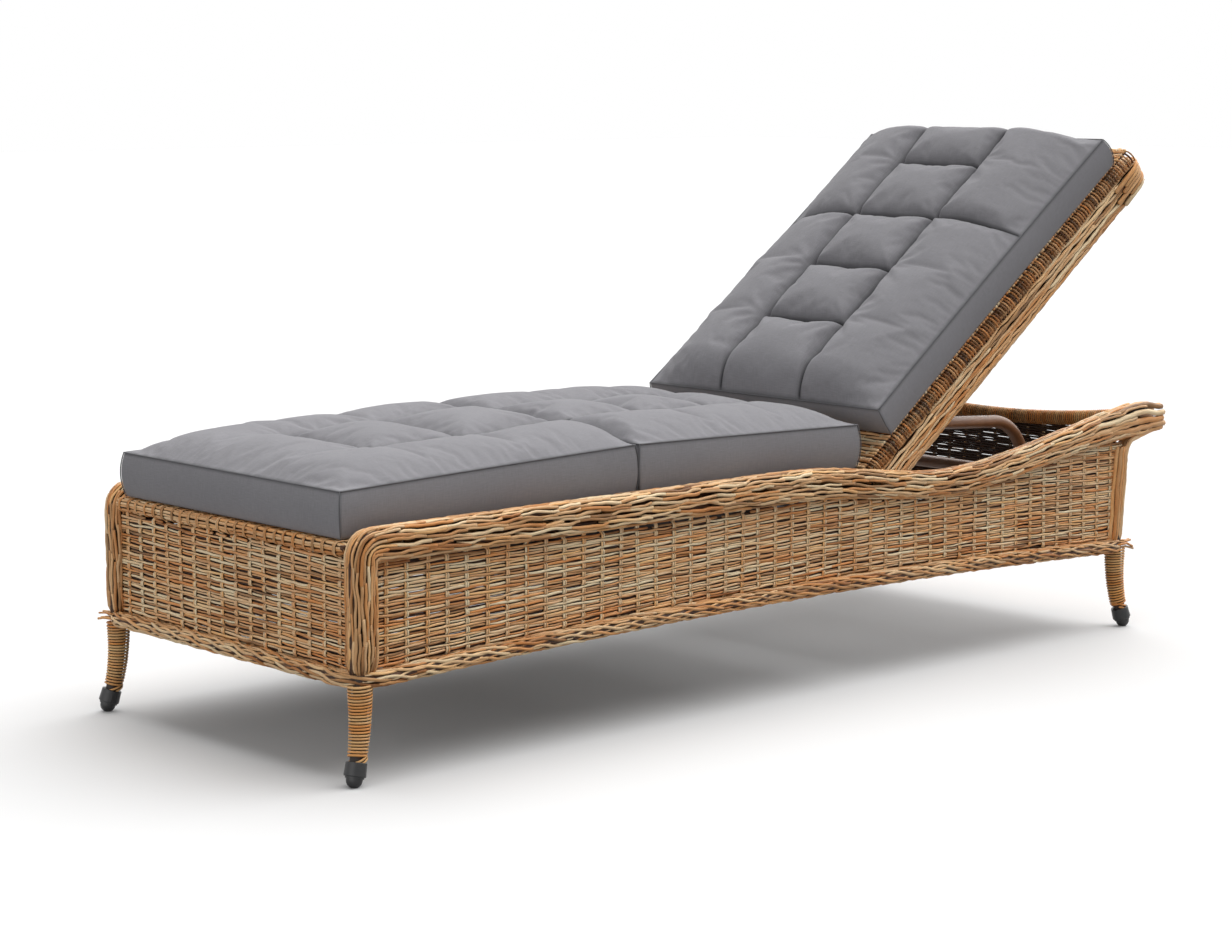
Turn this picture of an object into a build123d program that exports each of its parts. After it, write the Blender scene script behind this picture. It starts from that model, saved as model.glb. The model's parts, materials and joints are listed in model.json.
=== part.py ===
from build123d import *
from math import atan2, cos, degrees, pi, radians, sin, sqrt, tan
import os

# Reclining sun lounger: a woven cane base on four sabre legs, a backrest held up by a
# folding prop on two racks, and three quilted cushions.
# Millimetres. +X runs from the foot end to the head end, -Y is the left of a person lying
# on it, +Z is up. The origin is on the floor, in the middle of the overall box.

os.makedirs("parts", exist_ok=True)

# Woven base
body_length = 1887.0          # foot rim to head rim, outside to outside
body_width = 728.0            # left rim to right rim, outside to outside
leg_height = 148.0            # floor to the underside of the bottom rim
rim_width = 38.0
rim_height = 28.0
rim_arch = 20.0               # rise of the side rims at mid length
rim_level = 62.0              # level end of a side rim, under a corner post
rim_round = 9.0
panel_thickness = 8.0
stake_spacing = 48.0
stake_width = 9.0
stake_relief = 3.0            # a stake stands this far out of both faces of the weft
shadow_gap = 16.0             # widest gap between the weft and the side rail
shadow_gap_peak = 0.62        # where it is widest, as a part of the gap's length
shadow_gap_before_hinge = 120.0

# Top rails, foot roll and head roll
rail_rise = 22.0              # level stretch of the rail's top above the deck
rail_width = 44.0
rail_depth = 57.0
rail_set_in = 6.0             # rail face behind the bottom rim's face
rail_round = 14.0
rail_corner = 46.0            # round over the foot corner
level_before_hinge = 250.0    # the level stretch ends this far before the hinge
dip_behind_hinge = 150.0
dip_fall = 35.0
dip_thinning = 7.0            # the rail is this much slimmer at the dip
horn_rise = 40.0              # rise of the rail's top at the head corner
horn_crown = 45.0             # rise at the horn's highest point
horn_crown_reach = 40.0       # highest point, past the head rim
horn_reach = 113.0            # horn tip, past the head rim
horn_depth = 66.0             # rail depth at the head corner
horn_tip_depth = 46.0
horn_tip_drop = 15.0          # top of the tip below the horn's highest point
horn_tip_slope = 12.0
horn_under_slope = 0.2        # rise per length of the horn's underside at its tip
foot_roll_width = 42.0
foot_roll_height = 26.0
foot_roll_round = 10.0
head_roll_radius = 15.0
head_roll_drop = 6.0          # middle of the head roll's centre below the rail's top
head_roll_dip = 22.0          # the ends of the head roll stand this much higher
head_lean = 5.0               # outward lean of the head panel, degrees

# Corner posts
post_set_in = 8.0             # foot post face behind the rim's end
post_length = 48.0
post_round = 10.0
head_post_set_in = 11.0
head_post_length = 38.0
head_post_width = 32.0
foot_panel_set_in = 20.0
head_panel_set_in = 17.0

# Legs and feet
leg_inset = 25.0              # leg axis in from both outer faces of the rim
leg_top_radius = 20.5
leg_bottom_radius = 15.5
leg_straight = 20.0           # straight stretch below the rim
leg_knee_taper = 0.2          # part of the leg's taper that lies above its bend
leg_tilt = 16.5               # lean of the foot, degrees
leg_heading = 24.0            # splay direction, degrees off the long axis
pole_radius = 11.0
pole_socket = 40.0            # height of the pole inside its post
ferrule_radius = 17.5
ferrule_taper = 1.0
ferrule_height = 22.0
ferrule_socket = 14.0
ferrule_round = 1.5
flange_radius = 15.0
flange_height = 3.0
glide_radius = 13.0
glide_neck = 2.0
glide_flat = 1.5              # depth cut off the dome where it stands

# Tube frame
tube = 25.0
tube_wall = 2.0
beam_rise = 24.0              # lower beam's underside above the rim's underside
deck_height = 372.0
deck_thickness = 6.0
deck_gap_to_hinge = 46.0      # deck end before the hinge axis
deck_cross_count = 4
well_rail_drop = 58.0         # well rail's top below the hinge axis
foot_upright_gap = 6.0
head_upright_gap = 9.0
lower_cross_count = 3

# Hinge
well_length = 686.0           # hinge axis to the head rim
hinge_drop = 39.0             # hinge axis below the deck's top
hinge_pin_radius = 5.0
hinge_clearance = 0.06
hinge_plate = 5.0
hinge_eye = 16.0
hinge_gap = 0.5
pin_head_radius = 9.0
pin_head = 4.0
pin_end_gap = 0.3
leaf_length = 122.0
screw_radius = 2.5
screw_head_radius = 5.0
screw_head = 2.5
screw_length = 22.0
leaf_screw_first = 78.0
leaf_screw_pitch = 28.0

# Backrest
rest_angle = 37.0
lowest_angle = 12.0
highest_angle = 60.0
back_length = 945.0           # hinge axis to the top end
back_side_gap = 6.0           # backrest's side to the rail's inner face
stile_width = 48.0
stile_under = 48.0            # stile below the hinge plane
stile_over = 29.0             # stile above the hinge plane
stile_start = 5.0
stile_round = 14.0
back_top_depth = 60.0
back_weave = 12.0
back_weave_start = 12.0
back_weave_end_gap = 6.0
back_weave_side_gap = 3.0
bottom_tube_start = 42.0

# Prop, its brackets and the racks
prop_pivot_along = 250.5
prop_pivot_drop = 24.0        # pivot below the stiles' underside
prop_arm_inset = 24.0         # arm's axis in from the stile's inner face
prop_radius = 12.0
prop_wall = 2.0
prop_foot_reach = 501.0       # hinge axis to the foot bar at rest
prop_foot_drop = 27.0         # foot bar below the hinge axis
prop_elbow_rise = 77.0        # arm's elbow above the hinge axis
prop_elbow_radius = 95.0
prop_pin_radius = 4.0
prop_pin_head_radius = 7.0
prop_pin_head = 3.0
ear = 4.0
ear_gap = 1.0                 # between an ear and the arm
prop_bar_overhang = 4.0       # foot bar's end past the rack
cap_length = 20.0
cap_wall = 1.5
cap_end = 3.0
rack_plate = 5.0
rack_play = 0.6               # between the foot bar's caps and the rack's teeth
rack_notch = 8.0
rack_positions = 5
rack_end_gap = 8.0
rack_end_width = 14.0
rack_head_stop = 46.0
rack_foot_stop = 18.0
rack_screws_each = 3
rack_screw_margin = 30.0

# Cushions
cushion_side_gap = 9.0        # cushion's side to the rail's inner face
cushion_side = 74.0           # height of the boxing
cushion_crown = 18.0
cushion_draw = 5.0            # the long sides pull in this much at mid length
cushion_tuck = 7.0            # the bottom edge is this much narrower
cushion_bulge = 3.0
cushion_seam = 3.0            # the top seam is this much narrower
cushion_lift = 0.3
cushion_foot_overhang = 16.0  # cushion's foot edge in from the rim
cushion_gap = 2.0
leg_cushion_length = 600.0
seat_cushion_end_gap = 37.0   # seat cushion's end before the hinge axis
leg_rows = (0.363, 0.703)     # cross channels, as parts of the cushion's length
seat_rows = (0.435, 0.780)
back_rows = (0.228, 0.426, 0.624, 0.828)
channel_offset = 105.0        # lengthwise channels off the middle
channel_depth = 11.0
row_depth = 8.0
end_crown = 2.0
cushion_steps = 6             # cross sections in each quilted cell
back_cushion_start = 85.0
back_cushion_length = 803.0
back_cushion_side = 72.0

# Places worked out from the sizes above
foot_drop = flange_height + glide_neck + ferrule_height
dome_height = glide_radius - glide_flat
knee_height = leg_height - leg_straight
leg_bend = (knee_height - dome_height - foot_drop * cos(radians(leg_tilt))) / sin(radians(leg_tilt))
splay = leg_bend * (1 - cos(radians(leg_tilt))) + ferrule_height * sin(radians(leg_tilt))
ferrule_side = ferrule_radius * sqrt(1 - (sin(radians(leg_tilt)) * cos(radians(leg_heading))) ** 2)
foot_overhang = splay * cos(radians(leg_heading)) + ferrule_side - leg_inset

foot_x = -(body_length + horn_reach - max(foot_overhang, 0)) / 2
head_x = foot_x + body_length
horn_x = head_x + horn_reach
half_width = body_width / 2
rim_inner = half_width - rim_width
rim_top = leg_height + rim_height
rail_height = deck_height + rail_rise
rail_outer = half_width - rail_set_in
rail_inner = rail_outer - rail_width
rail_middle = rail_outer - rail_width / 2
rail_bottom = rail_height - rail_depth
rail_foot_x = foot_x + post_set_in
post_inner_x = rail_foot_x + post_length
hinge_x = head_x - well_length
hinge_height = deck_height - hinge_drop
well_rail_top = hinge_height - well_rail_drop
level_end_x = hinge_x - level_before_hinge
dip_x = hinge_x + dip_behind_hinge
beam_bottom = leg_height + beam_rise
beam_top = beam_bottom + tube
deck_end_x = hinge_x - deck_gap_to_hinge
foot_roll_inner_x = rail_foot_x + foot_roll_width
foot_roll_bottom = deck_height - foot_roll_height
deck_rail_bottom = deck_height - deck_thickness - tube
tube_inner = rail_inner - tube
rim_head_inner_x = head_x - rim_width
head_post_x = head_x - head_post_set_in
foot_upright_x = post_inner_x + foot_upright_gap
head_upright_x = head_post_x - head_post_length - head_upright_gap - tube

cushion_half = rail_inner - cushion_side_gap
back_half = rail_inner - back_side_gap
stile_inner = back_half - stile_width
leaf_inner = stile_inner - hinge_plate
bracket_outer = leaf_inner - hinge_gap
bracket_inner = bracket_outer - hinge_plate
back_plane = Plane(
    origin=(hinge_x, 0, hinge_height),
    x_dir=(cos(radians(rest_angle)), 0, sin(radians(rest_angle))),
    z_dir=(-sin(radians(rest_angle)), 0, cos(radians(rest_angle))),
)
prop_pivot_n = -stile_under - prop_pivot_drop
prop_pivot = back_plane.from_local_coords((prop_pivot_along, 0, prop_pivot_n))
prop_foot_height = hinge_height - prop_foot_drop
prop_elbow_height = hinge_height + prop_elbow_rise
prop_arm_offset = stile_inner - prop_arm_inset
prop_foot = Vector(hinge_x + prop_foot_reach, 0, prop_foot_height)
prop_length = (prop_foot - prop_pivot).length
cap_radius = prop_radius + cap_wall
rack_top = prop_foot_height - cap_radius - rack_play
rack_bottom = well_rail_top - tube
rack_outer = tube_inner
rack_inner = rack_outer - rack_plate
prop_bar_half = rack_outer + prop_bar_overhang


def prop_reach(angle):
    """From the prop's pivot to its foot bar on the racks, with the backrest at this angle."""
    turn = radians(angle - rest_angle)
    from_hinge = prop_pivot - Vector(hinge_x, 0, hinge_height)
    pivot_height = hinge_height + from_hinge.X * sin(turn) + from_hinge.Z * cos(turn)
    drop = prop_foot_height - pivot_height
    return Vector(sqrt(prop_length ** 2 - drop ** 2), 0, drop)


def prop_foot_x(angle):
    """Where the foot bar stands on the racks, with the backrest at this angle."""
    turn = radians(angle - rest_angle)
    from_hinge = prop_pivot - Vector(hinge_x, 0, hinge_height)
    return hinge_x + from_hinge.X * cos(turn) - from_hinge.Z * sin(turn) + prop_reach(angle).X


def prop_turn(angle):
    """The prop's angle to the backrest, in degrees, with the backrest at this angle."""
    reach = prop_reach(angle)
    return degrees(atan2(reach.Z, reach.X)) - angle


def save(builder, name):
    """Labels a finished piece and writes it."""
    builder.part.label = name
    export_step(builder.part, f"parts/{name}.step")


def save_pair(builder, name):
    """Writes the left-hand piece and its mirror image on the right."""
    save(builder, f"{name}_left")
    with BuildPart() as right:
        mirror(builder.part, about=Plane.XZ)
    save(right, f"{name}_right")


def block(low, high, mode=Mode.ADD):
    """A box between two corners, in the builder that is open."""
    size = Vector(*high) - Vector(*low)
    with Locations((Vector(*low) + Vector(*high)) * 0.5):
        Box(size.X, size.Y, size.Z, mode=mode)


def square_tube(low, high, along):
    """A hollow tube between two corners, open at its ends, in the builder that is open."""
    inset = Vector(*[0 if axis == along else tube_wall for axis in "XYZ"])
    block(low, high)
    block(Vector(*low) + inset, Vector(*high) - inset, mode=Mode.SUBTRACT)


# Legs: a bent pole in each, bound with cane, with a ferrule and a glide
corners = [(end, side) for end in (-1, 1) for side in (-1, 1)]
corner_names = {-1: "foot", 1: "head"}
side_names = {-1: "left", 1: "right"}


def leg_place(end, side, angle, further=0.0):
    """The plane square to a leg's axis, at an angle round its bend and then further down."""
    heading = Vector(end * cos(radians(leg_heading)), side * sin(radians(leg_heading)))
    top_x = head_x - leg_inset if end > 0 else foot_x + leg_inset
    out = leg_bend * (1 - cos(radians(angle))) + further * sin(radians(angle))
    down = leg_bend * sin(radians(angle)) + further * cos(radians(angle))
    place = Vector(top_x, side * (half_width - leg_inset), knee_height - down) + heading * out
    up = heading * -sin(radians(angle)) + Vector(0, 0, cos(radians(angle)))
    return Plane(origin=place, x_dir=(-heading.Y, heading.X, 0), z_dir=up)


with BuildPart() as leg_poles:
    for end, side in corners:
        knee = leg_place(end, side, 0).origin
        top = Vector(knee.X, knee.Y, rim_top + pole_socket)
        middle = leg_place(end, side, leg_tilt / 2).origin
        ankle = leg_place(end, side, leg_tilt).origin
        with BuildLine() as pole_line:
            Line(top, knee)
            ThreePointArc(knee, middle, ankle)
            Line(ankle, leg_place(end, side, leg_tilt, ferrule_socket).origin)
        with BuildSketch(Plane(origin=top, z_dir=(0, 0, -1))):
            Circle(pole_radius)
        sweep(path=pole_line.line)
save(leg_poles, "leg_poles")

for end, side in corners:
    knee_plane = leg_place(end, side, 0)
    with BuildPart() as leg_wrap:
        with BuildSketch(knee_plane.offset(leg_straight)):
            Circle(leg_top_radius)
        for share in (0, 0.5, 1):
            with BuildSketch(leg_place(end, side, leg_tilt * share)):
                taper = leg_knee_taper + (1 - leg_knee_taper) * share
                Circle(leg_top_radius + (leg_bottom_radius - leg_top_radius) * taper)
        loft()
        add(leg_poles.part, mode=Mode.SUBTRACT)
    save(leg_wrap, f"leg_wrap_{corner_names[end]}_{side_names[side]}")

foot_planes = [leg_place(end, side, leg_tilt) for end, side in corners]
below = (Align.CENTER, Align.CENTER, Align.MAX)

with BuildPart() as foot_ferrules:
    with Locations(*foot_planes):
        Cone(ferrule_radius, ferrule_radius - ferrule_taper, ferrule_height, align=below)
    fillet(foot_ferrules.edges().filter_by(GeomType.CIRCLE), ferrule_round)
    with Locations(*foot_planes):
        Cylinder(pole_radius, ferrule_socket, align=below, mode=Mode.SUBTRACT)
save(foot_ferrules, "foot_ferrules")

with BuildPart() as foot_glides:
    with Locations(*[plane.offset(-ferrule_height) for plane in foot_planes]):
        Cylinder(flange_radius, flange_height, align=below)
    with Locations(*[plane.offset(-ferrule_height - flange_height) for plane in foot_planes]):
        Cylinder(glide_radius, glide_neck, align=below)
    with Locations(*[plane.offset(-foot_drop) for plane in foot_planes]):
        Sphere(glide_radius, arc_size1=-90, arc_size2=0, align=below)
    split(bisect_by=Plane.XY, keep=Keep.TOP)
save(foot_glides, "foot_glides")

# Bottom rims
with BuildPart() as bottom_rim:
    with BuildSketch(Plane.XZ.offset(rim_inner)):
        with BuildLine():
            foot_low = (foot_x + rim_level, leg_height)
            head_low = (head_x - rim_level, leg_height)
            head_high = (head_x - rim_level, rim_top)
            foot_high = (foot_x + rim_level, rim_top)
            mid_x = (foot_x + head_x) / 2
            Line((foot_x, leg_height), foot_low)
            ThreePointArc(foot_low, (mid_x, leg_height + rim_arch), head_low)
            Polyline(head_low, (head_x, leg_height), (head_x, rim_top), head_high)
            ThreePointArc(head_high, (mid_x, rim_top + rim_arch), foot_high)
            Polyline(foot_high, (foot_x, rim_top), (foot_x, leg_height))
        make_face()
    extrude(amount=rim_width)
    fillet(bottom_rim.faces().filter_by(Axis.Y).edges(), rim_round)
    add(leg_poles.part, mode=Mode.SUBTRACT)
save_pair(bottom_rim, "bottom_rim")

for name, low_x in (("foot", foot_x), ("head", rim_head_inner_x)):
    with BuildPart() as end_rim:
        block((low_x, -rim_inner, leg_height), (low_x + rim_width, rim_inner, rim_top))
        fillet(end_rim.edges().filter_by(Axis.Y), rim_round)
    save(end_rim, f"bottom_rim_{name}")

# Top rails, level over the seat, dipped behind the hinge and rising to a horn at the head
corner_top_x = head_x - post_set_in
rail_tops = [
    (level_end_x, rail_height),
    (dip_x, rail_height - dip_fall),
    (corner_top_x, rail_height + horn_rise),
    (head_x + horn_crown_reach, rail_height + horn_crown),
    (horn_x - horn_tip_slope, rail_height + horn_crown - horn_tip_drop),
]
rail_bottoms = [
    (level_end_x, rail_bottom),
    (dip_x, rail_height - dip_fall - rail_depth + dip_thinning),
    (corner_top_x, rail_height + horn_rise - horn_depth),
    (horn_x - horn_tip_slope / 2, rail_tops[-1][1] - horn_tip_depth),
]
tip_middle = (horn_x, (rail_tops[-1][1] + rail_bottoms[-1][1]) / 2)

with BuildPart() as side_rail:
    with BuildSketch(Plane.XZ.offset(rail_inner)):
        with BuildLine():
            Line((rail_foot_x, rail_bottom), (rail_foot_x, rail_height - rail_corner))
            CenterArc((rail_foot_x + rail_corner, rail_height - rail_corner), rail_corner, 90, 90)
            Line((rail_foot_x + rail_corner, rail_height), rail_tops[0])
            Spline(*rail_tops, tangents=((1, 0), (1, -1)))
            ThreePointArc(rail_tops[-1], tip_middle, rail_bottoms[-1])
            Spline(*rail_bottoms, tangents=((1, 0), (1, horn_under_slope)))
            Line(rail_bottoms[0], (rail_foot_x, rail_bottom))
        make_face()
    extrude(amount=rail_width)
    fillet(side_rail.faces().filter_by(Axis.Y).edges(), rail_round)
save_pair(side_rail, "side_rail")

# Corner posts
with BuildPart() as foot_post:
    block((rail_foot_x, -rail_outer, rim_top), (post_inner_x, -rail_inner, rail_bottom))
    fillet(foot_post.edges().filter_by(Axis.Z), post_round)
    add(leg_poles.part, mode=Mode.SUBTRACT)
save_pair(foot_post, "corner_post_foot")

lean = tan(radians(head_lean))
head_post_top = (rail_tops[2][1] + rail_bottoms[2][1]) / 2
head_post_shift = (head_post_top - rim_top) * lean

with BuildPart() as head_post:
    with BuildSketch(Plane.XZ.offset(rail_middle - head_post_width / 2)):
        Polygon(
            (head_post_x - head_post_length, rim_top),
            (head_post_x, rim_top),
            (head_post_x + head_post_shift, head_post_top),
            (head_post_x + head_post_shift - head_post_length, head_post_top),
            align=None,
        )
    extrude(amount=head_post_width)
    add(side_rail.part, mode=Mode.SUBTRACT)
    add(leg_poles.part, mode=Mode.SUBTRACT)
save_pair(head_post, "corner_post_head")

# Woven panels
rail_mids = [
    ((top[0] + bottom[0]) / 2, (top[1] + bottom[1]) / 2)
    for top, bottom in zip(rail_tops[:3], rail_bottoms[:3])
]
panel_foot = (post_inner_x, rim_top - rim_height / 2)
panel_head = (head_post_x - head_post_length / 2, rim_top - rim_height / 2)

# Stakes stand out of both faces of a side panel, with bays of weft between them
side_panel_length = head_post_x - head_post_length - post_inner_x
bay_count = round(side_panel_length / stake_spacing)
bay_spacing = side_panel_length / bay_count
bay_width = bay_spacing - stake_width
bay_xs = [post_inner_x + bay_spacing * bay for bay in range(bay_count + 1)]
stake_face = panel_thickness / 2 + stake_relief
gap_length = hinge_x - shadow_gap_before_hinge - post_inner_x


def gap_below_rail(x):
    """Height of the gap between the weft and the rail, widest past mid length."""
    share = (x - post_inner_x) / gap_length
    rise = min(share / shadow_gap_peak, (1 - share) / (1 - shadow_gap_peak))
    return shadow_gap * sin(pi / 2 * rise)


gapped_xs = [x for x in bay_xs[1:] if x + bay_width / 2 < level_end_x]

with BuildPart() as side_panel:
    with BuildSketch(Plane.XZ.offset(rail_middle - stake_face)):
        with BuildLine():
            Line(panel_foot, (post_inner_x, rail_mids[0][1]))
            Line((post_inner_x, rail_mids[0][1]), rail_mids[0])
            Spline(*rail_mids, tangents=((1, 0), (1, horn_under_slope)))
            Line(rail_mids[-1], panel_head)
            ThreePointArc(panel_head, (mid_x, panel_foot[1] + rim_arch), panel_foot)
        make_face()
    extrude(amount=2 * stake_face)
    with BuildSketch(Plane.XY.offset(leg_height)):
        with Locations(*[(x, -rail_middle + side * stake_face) for x in bay_xs for side in (-1, 1)]):
            Rectangle(bay_width, 2 * stake_relief)
    extrude(amount=rail_height + horn_rise - leg_height, mode=Mode.SUBTRACT)
    with BuildSketch(Plane.XZ.offset(rail_middle - stake_face)):
        for x in gapped_xs:
            with Locations((x, rail_bottom)):
                Rectangle(bay_width, 2 * gap_below_rail(x))
    extrude(amount=2 * stake_face, mode=Mode.SUBTRACT)
    add(side_rail.part, mode=Mode.SUBTRACT)
    add(bottom_rim.part, mode=Mode.SUBTRACT)
    add(head_post.part, mode=Mode.SUBTRACT)
    add(leg_poles.part, mode=Mode.SUBTRACT)
save_pair(side_panel, "side_panel")

foot_panel_x = foot_x + foot_panel_set_in
with BuildPart() as foot_panel:
    block(
        (foot_panel_x, -rail_inner, rim_top),
        (foot_panel_x + panel_thickness, rail_inner, foot_roll_bottom),
    )
save(foot_panel, "foot_panel")

with BuildPart() as foot_roll:
    block((rail_foot_x, -rail_inner, foot_roll_bottom), (foot_roll_inner_x, rail_inner, deck_height))
    fillet(foot_roll.edges().filter_by(Axis.Y), foot_roll_round)
save(foot_roll, "foot_roll")

# The head panel and its roll share one leaning plane
head_plane = Plane(
    origin=(head_x - head_panel_set_in, 0, rim_top),
    x_dir=(0, 1, 0),
    z_dir=(cos(radians(head_lean)), 0, -sin(radians(head_lean))),
)
roll_middle = (0, (rail_height - head_roll_drop - rim_top) / cos(radians(head_lean)))
roll_left = (-rail_inner, roll_middle[1] + head_roll_dip)
roll_right = (rail_inner, roll_middle[1] + head_roll_dip)

with BuildPart() as head_roll:
    with BuildLine(head_plane.offset(-panel_thickness / 2)) as roll_line:
        ThreePointArc(roll_left, roll_middle, roll_right)
    with BuildSketch(Plane(origin=roll_line.line @ 0, z_dir=roll_line.line % 0)):
        Circle(head_roll_radius)
    sweep(path=roll_line.line)
    split(bisect_by=Plane.XZ.offset(rail_inner), keep=Keep.BOTTOM)
    split(bisect_by=Plane.XZ.offset(-rail_inner), keep=Keep.TOP)
save(head_roll, "head_roll")

head_post_inner = rail_middle - head_post_width / 2
with BuildPart() as head_panel:
    with BuildSketch(head_plane):
        with BuildLine():
            Polyline(
                (-head_post_inner, roll_left[1]),
                (-head_post_inner, 0),
                (head_post_inner, 0),
                (head_post_inner, roll_right[1]),
            )
            ThreePointArc((head_post_inner, roll_right[1]), roll_middle, (-head_post_inner, roll_left[1]))
        make_face()
    extrude(amount=-panel_thickness)
    add(head_roll.part, mode=Mode.SUBTRACT)
    add(side_rail.part, mode=Mode.SUBTRACT)
    mirror(side_rail.part, about=Plane.XZ, mode=Mode.SUBTRACT)
    split(bisect_by=Plane.XY.offset(rim_top), keep=Keep.TOP)
save(head_panel, "head_panel")

# Tube frame inside the weave
with BuildPart() as lower_beam:
    square_tube(
        (post_inner_x, -rim_inner, beam_bottom),
        (head_post_x - head_post_length, -rim_inner + tube, beam_top),
        "X",
    )
save_pair(lower_beam, "lower_beam")

lower_half = rim_inner - tube
with BuildPart() as lower_cross_tubes:
    pitch = (head_upright_x - foot_upright_x) / (lower_cross_count - 1)
    for index in range(lower_cross_count):
        low_x = foot_upright_x + pitch * index
        square_tube((low_x, -lower_half, beam_bottom), (low_x + tube, lower_half, beam_top), "Y")
save(lower_cross_tubes, "lower_cross_tubes")

with BuildPart() as deck_rail:
    square_tube(
        (foot_roll_inner_x, -rail_inner, deck_rail_bottom),
        (deck_end_x, -tube_inner, deck_rail_bottom + tube),
        "X",
    )
save_pair(deck_rail, "deck_rail")

with BuildPart() as deck_cross_tubes:
    pitch = (deck_end_x - tube - foot_roll_inner_x) / (deck_cross_count - 1)
    for index in range(deck_cross_count):
        low_x = foot_roll_inner_x + pitch * index
        low = (low_x, -tube_inner, deck_rail_bottom)
        square_tube(low, (low_x + tube, tube_inner, deck_rail_bottom + tube), "Y")
save(deck_cross_tubes, "deck_cross_tubes")

with BuildPart() as seat_deck:
    block(
        (foot_roll_inner_x, -rail_inner, deck_height - deck_thickness),
        (deck_end_x, rail_inner, deck_height),
    )
save(seat_deck, "seat_deck")

upright_spots = (
    (foot_upright_x, deck_rail_bottom),
    (deck_end_x - tube, deck_rail_bottom),
    (head_upright_x, well_rail_top),
)
with BuildPart() as frame_uprights:
    for low_x, top in upright_spots:
        square_tube((low_x, -rail_inner, beam_top), (low_x + tube, -tube_inner, top), "Z")
    mirror(about=Plane.XZ)
save(frame_uprights, "frame_uprights")

rack_foot_x = prop_foot_x(highest_angle) - cap_radius - rack_end_gap - rack_end_width
rack_head_x = prop_foot_x(lowest_angle) + cap_radius + rack_end_gap + rack_end_width
rack_screw_z = well_rail_top - tube / 2
rack_screw_pitch = (rack_head_x - rack_foot_x - 2 * rack_screw_margin) / (rack_screws_each - 1)
rack_screw_spots = [
    (rack_foot_x + rack_screw_margin + rack_screw_pitch * index, rack_screw_z)
    for index in range(rack_screws_each)
]

with BuildPart() as well_rail:
    square_tube(
        (deck_end_x, -rail_inner, well_rail_top - tube),
        (head_upright_x, -tube_inner, well_rail_top),
        "X",
    )
    with BuildSketch(Plane.XZ.offset(tube_inner)):
        with Locations(*rack_screw_spots):
            Circle(screw_radius)
    extrude(amount=tube_wall, mode=Mode.SUBTRACT)
save_pair(well_rail, "well_rail")

with BuildPart() as hinge_cross_tube:
    square_tube(
        (hinge_x - tube / 2, -tube_inner, well_rail_top - tube),
        (hinge_x + tube / 2, tube_inner, well_rail_top),
        "Y",
    )
save(hinge_cross_tube, "hinge_cross_tube")

# Hinges: a bracket and pin on the base, a leaf on the backrest
with BuildPart() as hinge_bracket:
    with BuildSketch(Plane.XZ.offset(bracket_inner)):
        with Locations((hinge_x, (well_rail_top + hinge_height) / 2)):
            Rectangle(tube, hinge_height - well_rail_top)
        with Locations((hinge_x, hinge_height)):
            Circle(hinge_eye)
            Circle(hinge_pin_radius, mode=Mode.SUBTRACT)
    extrude(amount=hinge_plate)
    block(
        (hinge_x - tube / 2, -bracket_inner, well_rail_top),
        (hinge_x + tube / 2, -bracket_inner + tube, well_rail_top + hinge_plate),
    )
save_pair(hinge_bracket, "hinge_bracket")

with BuildPart() as hinge_pins:
    with BuildSketch(Plane.XZ.offset(bracket_inner - pin_head)):
        with Locations((hinge_x, hinge_height)):
            Circle(pin_head_radius)
    extrude(amount=pin_head)
    with BuildSketch(Plane.XZ.offset(bracket_inner)):
        with Locations((hinge_x, hinge_height)):
            Circle(hinge_pin_radius)
    extrude(amount=stile_inner - bracket_inner - pin_end_gap)
    mirror(about=Plane.XZ)
save(hinge_pins, "hinge_pins")

# Racks: notched plates that the prop's foot bar stands on
angle_step = (highest_angle - lowest_angle) / (rack_positions - 1)
notch_spots = [
    (prop_foot_x(lowest_angle + angle_step * index), rack_top)
    for index in range(rack_positions)
]

with BuildPart() as rack:
    with BuildSketch(Plane.XZ.offset(rack_inner)):
        Polygon(
            (rack_foot_x, rack_bottom),
            (rack_head_x, rack_bottom),
            (rack_head_x, rack_top + rack_head_stop),
            (rack_head_x - rack_end_width, rack_top + rack_head_stop),
            (rack_head_x - rack_end_width, rack_top),
            (rack_foot_x + rack_end_width, rack_top),
            (rack_foot_x + rack_end_width, rack_top + rack_foot_stop),
            (rack_foot_x, rack_top + rack_foot_stop),
            align=None,
        )
        with Locations(*notch_spots):
            Circle(rack_notch, mode=Mode.SUBTRACT)
        with Locations(*rack_screw_spots):
            Circle(screw_radius, mode=Mode.SUBTRACT)
    extrude(amount=rack_plate)
save_pair(rack, "rack")

with BuildPart() as rack_screws:
    with BuildSketch(Plane.XZ.offset(rack_inner - screw_head)):
        with Locations(*rack_screw_spots):
            Circle(screw_head_radius)
    extrude(amount=screw_head)
    with BuildSketch(Plane.XZ.offset(rack_inner)):
        with Locations(*rack_screw_spots):
            Circle(screw_radius)
    extrude(amount=rack_plate + tube_wall)
    mirror(about=Plane.XZ)
save(rack_screws, "rack_screws")

# Backrest frame, in the plane that turns about the hinge axis
leaf_screw_spots = [(leaf_screw_first, 0), (leaf_screw_first + leaf_screw_pitch, 0)]


def back_side_plane(offset):
    """A plane along the backrest's left side, X up the back and Y square to it."""
    return Plane(
        origin=back_plane.from_local_coords((0, -offset, 0)),
        x_dir=back_plane.x_dir,
        z_dir=(0, -1, 0),
    )


with BuildPart(back_plane) as back_stile:
    block((stile_start, -back_half, -stile_under), (back_length, -stile_inner, stile_over))
    fillet(back_stile.edges().filter_by(Axis(back_plane.origin, back_plane.x_dir)), stile_round)
    with BuildSketch(back_side_plane(stile_inner)):
        with Locations(*leaf_screw_spots):
            Circle(screw_radius)
    extrude(amount=screw_length - hinge_plate, mode=Mode.SUBTRACT)
save_pair(back_stile, "back_stile")

with BuildPart(back_plane) as back_top_rail:
    block((back_length - back_top_depth, -stile_inner, -stile_under), (back_length, stile_inner, stile_over))
    fillet(back_top_rail.edges().filter_by(Axis.Y), stile_round)
save(back_top_rail, "back_top_rail")

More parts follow.
